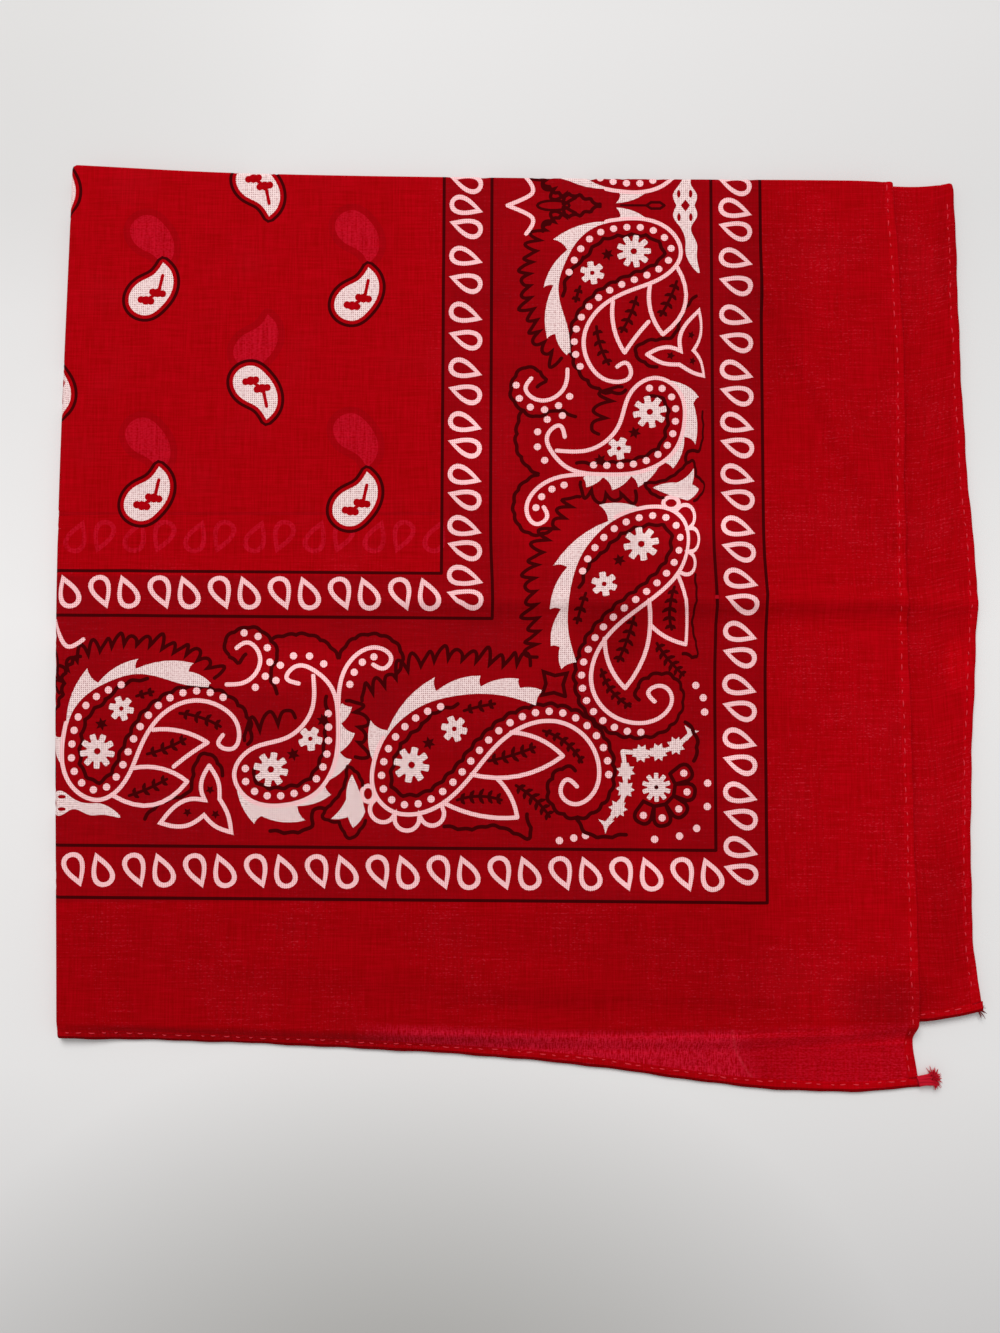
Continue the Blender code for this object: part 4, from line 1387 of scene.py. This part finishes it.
lowerPrint = Marks()  # only the lowest layer's printed side shows, from below
lowerPrint.shapes = [(o, d) for o, d in squarePrint.shapes
                     if o[:, 0].min() < -138 and o[:, 1].min() < 165]
rollsUnder = np.vstack([rollGrid(backRoll, p5, p3, 2.0, 9, False),
                        rollGrid(leftRoll, q3, q4, 3.0, 9, True),
                        rollGrid(backRoll, p3, p2, 3.0, 4, False)])
parted = grain["parted"]
underFree = np.vstack([flatGrid(evenGrid((p5, q6), (p3 + 1, q3), grain["lowest"])),
                       flatGrid(evenGrid((p5, q3), (parted, q5), grain["third"])),
                       flatGrid(evenGrid((parted, q3), (p4, q5), grain["second"])), rollsUnder])
underCoarse = np.vstack([flatGrid(evenGrid((p5, q6), (p4, q5), grain["underBack"])), rollsUnder])
underCloth = clothShell("underCloth", underBorder, lowerPrint, underFree, underCoarse, clothRed)
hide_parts("under_layers")

# The hems and their thread.

hemSection = np.array([  # depth from the edge, height in shares of the rise, plain height
    (0.00, 0.0, -0.45), (0.10, 0.5, -0.14), (0.42, 0.9, -0.03), (1.05, 1.0, 0.00),
    (1.80, 0.9, 0.00), (2.15, 0.7, 0.00), (2.40, 0.5, -0.01), (2.70, 0.6, -0.01),
    (3.05, 0.4, -0.02), (3.20, 0.0, -0.10), (3.12, 0.0, -0.62), (2.40, 0.0, -0.74),
    (1.30, 0.0, -0.92), (0.50, 0.0, -0.92), (0.12, 0.0, -0.76),
])


def wander(s, seed):
    # Sum of three sines whose lengths have no common measure.
    return (np.sin(s / 1.9 + seed) + 1.3 * np.sin(s / 4.7 + 2 * seed)
            + 1.1 * np.sin(s / 11.3 + 3 * seed)) / 3.4


def inwardOf(path, side):  # unit directions from the edge into the cloth, in the cut
    step = np.gradient(path, axis=0)
    step /= np.linalg.norm(step, axis=1, keepdims=True)
    return np.stack([-step[:, 1], step[:, 0]], 1) * side


def onHem(path, inward, s, depth, height):
    # Place at a distance s along a hem, a depth in from its edge and a height over the print.
    run = lengthAlong(path)
    cut = np.stack([np.interp(s, run, path[:, i]) + depth * np.interp(s, run, inward[:, i])
                    for i in (0, 1)], -1)
    return foldCloth(cut) + outward(cut) * height[..., None], cut


def outerShare(cut):
    # 1 on the layers whose printed side looks up, 0 on those that lie on it.
    left, bend = leftLine(np.minimum(cut[..., 1], cornerDepth))
    a = smooth((cut[..., 0] - left) / (math.pi * bend) + 1.0)
    b = smooth((backLine(cut[..., 0]) - cut[..., 1]) / (math.pi * fold["backBend"]) + 1.0)
    return a * b + (1 - a) * (1 - b)


def hemLoft(name, path, side, seed, material, rim):
    # The section carried along an edge, its rim moved by the wander and pulled in at stitches.
    # The rim's outermost strips, as many as rim says, are painted darker as shade.
    path = resampled(path, hem["station"])
    inward = inwardOf(path, side)
    s = lengthAlong(path)
    rise = hem["rise"] * outerShare(path + inward * 1.5)
    depth = hemSection[None, :, 0] + np.zeros((len(s), 1))
    edge = np.exp(-(depth / 1.2) ** 2) * (wander(s, seed) * hem["wander"])[:, None]
    lane = np.exp(-((depth - hem["stitchIn"]) / 0.45) ** 2) * (hemSection[None, :, 1] > 0)
    pull = 0.5 + 0.5 * np.cos(2 * math.pi * (s / hem["stitchPitch"] - 0.5))
    height = (hemSection[None, :, 1] * rise[:, None] * (1 + 0.35 * wander(s, seed + 1.7))[:, None]
              + hemSection[None, :, 2] - lane * (rise * 0.5 * pull)[:, None])
    places, cut = onHem(path, inward, s[:, None] + np.zeros_like(depth), depth + edge, height)
    rows, sides = depth.shape
    index = np.arange(rows * sides).reshape(rows, sides)
    a, b = index[:-1], index[1:]
    quads = np.stack([a, b, np.roll(b, -1, 1), np.roll(a, -1, 1)], -1).reshape(-1, 4)
    if side < 0:
        quads = quads[:, ::-1]
    faces = np.vstack([quads[:, [0, 1, 2]], quads[:, [0, 2, 3]]])
    caps = []
    for row, turned in ((index[0], side > 0), (index[-1], side < 0)):
        fan = np.stack([np.full(sides - 2, row[0]), row[1:-1], row[2:]], 1)
        caps.append(fan if turned else fan[:, ::-1])
    faces = np.vstack([faces] + caps)
    flatCut = cut.reshape(-1, 2)[faces.ravel()] * mm
    dye = np.full((len(s) - 1, sides), float(dyes["hem"]))
    # These strips carry painted shade.
    dye[:, hem["rimColumns"][:rim]] = dyes["hemShadeRim"]
    ends = np.full(2 * sides - 4, float(dyes["hem"]))
    dye = np.concatenate([dye.ravel(), dye.ravel(), ends])
    obj = meshFrom(name, places.reshape(-1, 3), faces, material, None, flatCut, dye)
    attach(obj, "root")
    print(name, len(faces), "triangles")
    return obj, path, inward


def stitchRow(path, inward, first, last, seed, sunk=0.0):
    # Short capsules: half width sqrt(1 - t^2), arched so that both ends dip into the cloth.
    pitch, radius = hem["stitchPitch"], hem["stitchWidth"] / 2
    k = np.arange(int((last - first) / pitch))
    half = 0.85 + 0.28 * np.sin(k * 1.7 + seed)
    centre = first + (k + 0.5) * pitch + 0.35 * np.sin(k * 2.9 + seed)
    aside = 0.16 * np.sin(k * 0.8 + seed) + 0.08 * np.sin(k * 4.1)
    t = np.array([-1.0, -0.85, -0.4, 0.0, 0.4, 0.85, 1.0])
    wide = radius * np.sqrt(np.maximum(1.0 - t**2, 0.02))
    turn = np.arange(6) / 6 * 2 * math.pi
    shape = (len(k), len(t), len(turn))
    s = np.broadcast_to((centre[:, None] + half[:, None] * t)[..., None], shape)
    lean = aside[:, None] + 0.12 * t[None, :] * np.sin(k * 2.2)[:, None]
    depth = hem["stitchIn"] + lean[..., None] + wide[None, :, None] * np.cos(turn)
    base = np.interp(centre, lengthAlong(path), outerShare(path + inward * 1.5)) * hem["rise"] * 0.5
    height = (base[:, None, None] + 0.10 - sunk - 0.24 * (t**2)[None, :, None]
              + wide[None, :, None] * np.sin(turn) * 0.75)
    places, _ = onHem(path, inward, s, depth + np.zeros(shape), height + np.zeros(shape))
    index = np.arange(places[..., 0].size).reshape(shape)
    a, b = index[:, :-1], index[:, 1:]
    quads = np.stack([a, b, np.roll(b, -1, 2), np.roll(a, -1, 2)], -1).reshape(-1, 4)
    quads = np.vstack([quads, index[:, 0, [0, 1, 2, 3]], index[:, 0, [0, 3, 4, 5]],
                       index[:, -1, [3, 2, 1, 0]], index[:, -1, [5, 4, 3, 0]]])
    return places.reshape(-1, 3), quads


def joined(parts):  # meshes of (points, faces) as one
    points, faces, shift = [], [], 0
    for some, their in parts:
        points.append(some)
        faces.append(their + shift)
        shift += len(some)
    return np.vstack(points), np.vstack(faces)


def fibre(start, way, length, radius, bend, rings=6, sides=5):
    # A tapered hair: start + way t + bend t^2, with a ring at each step.
    t = np.linspace(0, 1, rings)
    line = start + np.outer(t, way) * length + np.outer(t**2, bend) * length
    step = np.gradient(line, axis=0)
    step /= np.linalg.norm(step, axis=1, keepdims=True)
    side = np.cross(step, [0.13, 0.22, 0.97])
    side /= np.linalg.norm(side, axis=1, keepdims=True)
    other = np.cross(step, side)
    turn = np.arange(sides) / sides * 2 * math.pi
    wide = radius * (1.0 - 0.75 * t**2)
    around = (side[:, None] * np.cos(turn)[None, :, None]
              + other[:, None] * np.sin(turn)[None, :, None])
    points = line[:, None] + around * wide[:, None, None]
    index = np.arange(rings * sides).reshape(rings, sides)
    a, b = index[:-1], index[1:]
    quads = np.stack([a, np.roll(a, -1, 1), np.roll(b, -1, 1), b], -1).reshape(-1, 4)
    return points.reshape(-1, 3), quads


# The corners of the whole square, with its hems, from the top layer's front right corner on.
hemRed = clothMaterial("hemCotton", 1.10, plain=True)
cut0, cut1 = corner(rightEdge, frontEdge, 131.0, -132.0), corner(rightEdge, farEdge, 127.0, 428.0)
cut2, cut3 = corner(outerEdge, farEdge, -433.0, 428.0), corner(outerEdge, frontEdge, -433.0, -110.0)
beyond = hem["width"] + 0.05
alongFront = spaced(cut0[0], cut3[0], 1.5)
alongFar = spaced(cut1[0], cut2[0], 1.5)
alongRight = spaced(cut0[1] + beyond, cut1[1] - beyond, 1.5)
alongOuter = spaced(cut3[1] + beyond, cut2[1] - beyond, 1.5)

hemFront, frontPath, frontIn = hemLoft(
    "hemFront", np.stack([alongFront, frontEdge(alongFront)], 1), -1, 0.4, hemRed, 5)
hemTop, topPath, topIn = hemLoft(
    "hemTop", np.stack([alongFar, farEdge(alongFar)], 1), 1, 1.1, hemRed, 5)
hemRight, rightPath, rightIn = hemLoft(
    "hemRight", np.stack([rightEdge(alongRight), alongRight], 1), 1, 2.6, hemRed, 1)
hemLeft, leftPath, leftIn = hemLoft(
    "hemLeft", np.stack([outerEdge(alongOuter), alongOuter], 1), -1, 3.3, hemRed, 1)
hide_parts("top_front_hem")
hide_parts("under_front_hem")
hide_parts("top_side_hem")
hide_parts("under_side_hem")


def lengthAt(path, axis, value):  # distance along a path at which a coordinate passes a value
    return float(lengthAlong(path)[np.argmin(np.abs(path[:, axis] - value))])


threadRed = plainMaterial("hemThread", (0.70, 0.028, 0.046, 1), 0.75, 0.15)
rows = [
    stitchRow(frontPath, frontIn, 3.0, lengthAt(frontPath, 0, -139.5), 0.3),
    stitchRow(frontPath, frontIn, lengthAt(frontPath, 0, -150.0),
              lengthAlong(frontPath)[-1] - 3, 1.9, 0.10),
    stitchRow(rightPath, rightIn, 1.0, lengthAt(rightPath, 1, 157.5), 1.2),
    stitchRow(topPath, topIn, lengthAt(topPath, 0, -395.0), lengthAlong(topPath)[-1] - 3, 2.4),
    stitchRow(leftPath, leftIn, lengthAt(leftPath, 1, 166.0), lengthAlong(leftPath)[-1] - 1, 0.9),
    stitchRow(leftPath, leftIn, 1.0, lengthAt(leftPath, 1, 157.0), 2.2, 0.10),
]
stitches = meshFrom("hemStitches", *joined(rows), threadRed)
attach(stitches, "root")

# The frayed ends.

tuft = {
    "from": (131.4, -129.8, 1.3),
    "to": (136.2, -128.7, 1.7),
    "twisted": 16,  # threads in the twist
    "twistRadius": 1.3,
    "strands": 130,  # hairs of the brush
    "length": 2.7,
    "radius": 0.15,
    "goldenTurn": 2.39996,
}


def cornerTuft():
    # A twist of threads out of the hem's end, opened into a round brush of short hairs.
    start = np.array(tuft["from"]) - planCentre
    end = np.array(tuft["to"]) - planCentre
    ahead = (end - start) / np.linalg.norm(end - start)
    side = np.array([-ahead[1], ahead[0], 0.0])
    parts = []
    for i in range(tuft["twisted"]):
        turn = i * 2.4
        r = tuft["twistRadius"] * math.sqrt((i + 0.5) / tuft["twisted"])
        off = side * r * math.cos(turn) + np.array([0, 0, 0.62]) * r * math.sin(turn)
        parts.append(fibre(start + off - ahead * 0.8, ahead, 5.6, 0.52,
                           side * 0.3 * math.cos(turn + 1.5), 6, 6))
    for i in range(tuft["strands"]):
        share = (i + 0.5) / tuft["strands"]
        around = i * tuft["goldenTurn"]
        out = math.acos(1 - 1.35 * share)  # from straight ahead to a little backwards
        level = math.cos(around) * math.sin(out)
        rise = math.sin(around) * math.sin(out) * 0.5 + 0.12
        way = ahead * math.cos(out) + side * level + np.array([0, 0, rise])
        length = tuft["length"] * (0.72 + 0.28 * math.sin(i * 5.3) ** 2)
        bend = side * 0.35 * math.sin(i * 3.1) + np.array([0, 0, -0.22 - 0.1 * rise])
        root = end - ahead * 0.7 + side * 0.55 * level
        parts.append(fibre(root, way / np.linalg.norm(way), length, tuft["radius"], bend))
    points, faces = joined(parts)
    points[:, 2] = np.maximum(points[:, 2], 0.03)
    return points, faces


def cornerThreads():
    # Dark thread ends that stick out of the third layer's corner.
    corner3 = foldCloth(np.array([cut2[0] + 1.2, cut2[1] - 1.2]))
    parts = []
    for i in range(12):
        angle = math.radians(-62 + 13 * i + 9 * math.sin(i * 2.7))
        way = np.array([math.cos(angle), math.sin(angle), 0.05 * math.sin(i * 1.9)])
        root = corner3 + np.array([0.4 * math.sin(i * 2.1), 0.55 * (i - 5) / 3, -0.3])
        parts.append(fibre(root, way, 1.9 + 0.7 * math.sin(i * 1.3) ** 2, 0.2,
                           np.array([0.0, -0.25, -0.1])))
    return joined(parts)


tuftRed = plainMaterial("tuftThread", (0.56, 0.006, 0.022, 1), 0.85, 0.1)
tuftPiece = meshFrom("cornerTuft", *cornerTuft(), tuftRed)
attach(tuftPiece, "root")
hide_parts("corner_tuft")
darkThread = plainMaterial("darkThread", (0.16, 0.001, 0.004, 1), 0.9, 0.1)
threadEnds = meshFrom("cornerThreads", *cornerThreads(), darkThread)
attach(threadEnds, "root")
print("hems and threads made")

# The camera, the light and the floor.

view = {
    "lens": 27.0,
    "tilt": 3.1,  # degrees off straight down
    "distance": 318.3,
    "height": 2.5,  # of the point that the camera looks at
    "floorHalf": 2500.0,
    "floorAt": -0.12,
    "floorStops": [(0.20, 0.66), (0.275, 0.745), (0.32, 0.84), (0.36, 0.925), (0.50, 0.935),
                   (0.57, 0.835), (0.64, 0.765), (0.70, 0.775), (0.78, 0.72)],
    "floorDim": (0.40, 0.392, 0.368, 1),
    "allRound": 0.42,  # strength of the light from all sides
    "keyPlace": (-0.2, 0.85, 1.1),
    "keySize": 0.8,
    "keyPower": 13.2,
}


def floorMaterial():
    # A pale table top with painted light and shade: greys along y for the light's fall-off,
    # a painted shadow at the front, where something stands in its light, and a fainter painted
    # shade at the back left.
    paint = Paint("paleFloor")
    where = paint.make("ShaderNodeTexCoord", None, None, 3)
    x = paint.make("ShaderNodeSeparateXYZ", None, {0: where})
    y = paint.make("ShaderNodeSeparateXYZ", None, {0: where}, 1)
    stops = [(at, (grey, grey * 0.985, grey * 0.977, 1)) for at, grey in view["floorStops"]]
    # Painted light: the greys fall off towards the front and the back.
    pale = paint.make("ShaderNodeValToRGB", {"stops": stops}, {0: y + 0.5})
    away = (((x + 0.036) / 0.168) ** 2.0 + ((y + 0.27) / 0.14) ** 2.0).maths("SQRT")
    frontShadow = ((1.0 - away) * 1.5).clamped()
    pale = paint.mix(frontShadow * 0.66, pale, view["floorDim"])
    # A fainter painted shade at the back left.
    far = ((x + 0.17) / 0.11) ** 2.0 + ((y - 0.20) / 0.10) ** 2.0
    paint.into("Base Color", paint.mix((1.0 - far).clamped() * 0.16, pale, view["floorDim"]))
    paint.into("Roughness", 0.6)
    paint.into("Specular IOR Level", 0.2)
    return paint.material


half, low = view["floorHalf"], view["floorAt"]
floorMesh = meshFrom("floor", [(-half, -half, low), (half, -half, low), (half, half, low),
                               (-half, half, low)], [(0, 1, 2, 3)], floorMaterial())

camera = bpy.data.objects.new("camera", bpy.data.cameras.new("camera"))
bpy.context.scene.collection.objects.link(camera)
bpy.context.scene.camera = camera
camera.data.lens = view["lens"]
camera.data.sensor_width = 36.0
camera.data.clip_start = 0.01
tilt = math.radians(view["tilt"])
target = np.array([-planCentre[0], -planCentre[1], view["height"]]) * mm
camera.location = target + view["distance"] * mm * np.array([0.0, -math.sin(tilt), math.cos(tilt)])
camera.rotation_euler = (tilt, 0.0, 0.0)

world = bpy.data.worlds.new("studio")
world.use_nodes = True
world.node_tree.nodes["Background"].inputs[0].default_value = (1.0, 1.0, 1.0, 1.0)
world.node_tree.nodes["Background"].inputs[1].default_value = view["allRound"]
bpy.context.scene.world = world
bpy.context.scene.view_settings.view_transform = "Standard"


def softLight(name, place, size, power):  # a round lamp that shines at the origin
    light = bpy.data.lights.new(name, "AREA")
    light.shape, light.size, light.energy = "DISK", size, power
    lamp = bpy.data.objects.new(name, light)
    bpy.context.scene.collection.objects.link(lamp)
    lamp.location = place
    lamp.rotation_euler = (-Vector(place)).to_track_quat("-Z", "Y").to_euler()


softLight("key", view["keyPlace"], view["keySize"], view["keyPower"])

print("scene ready")
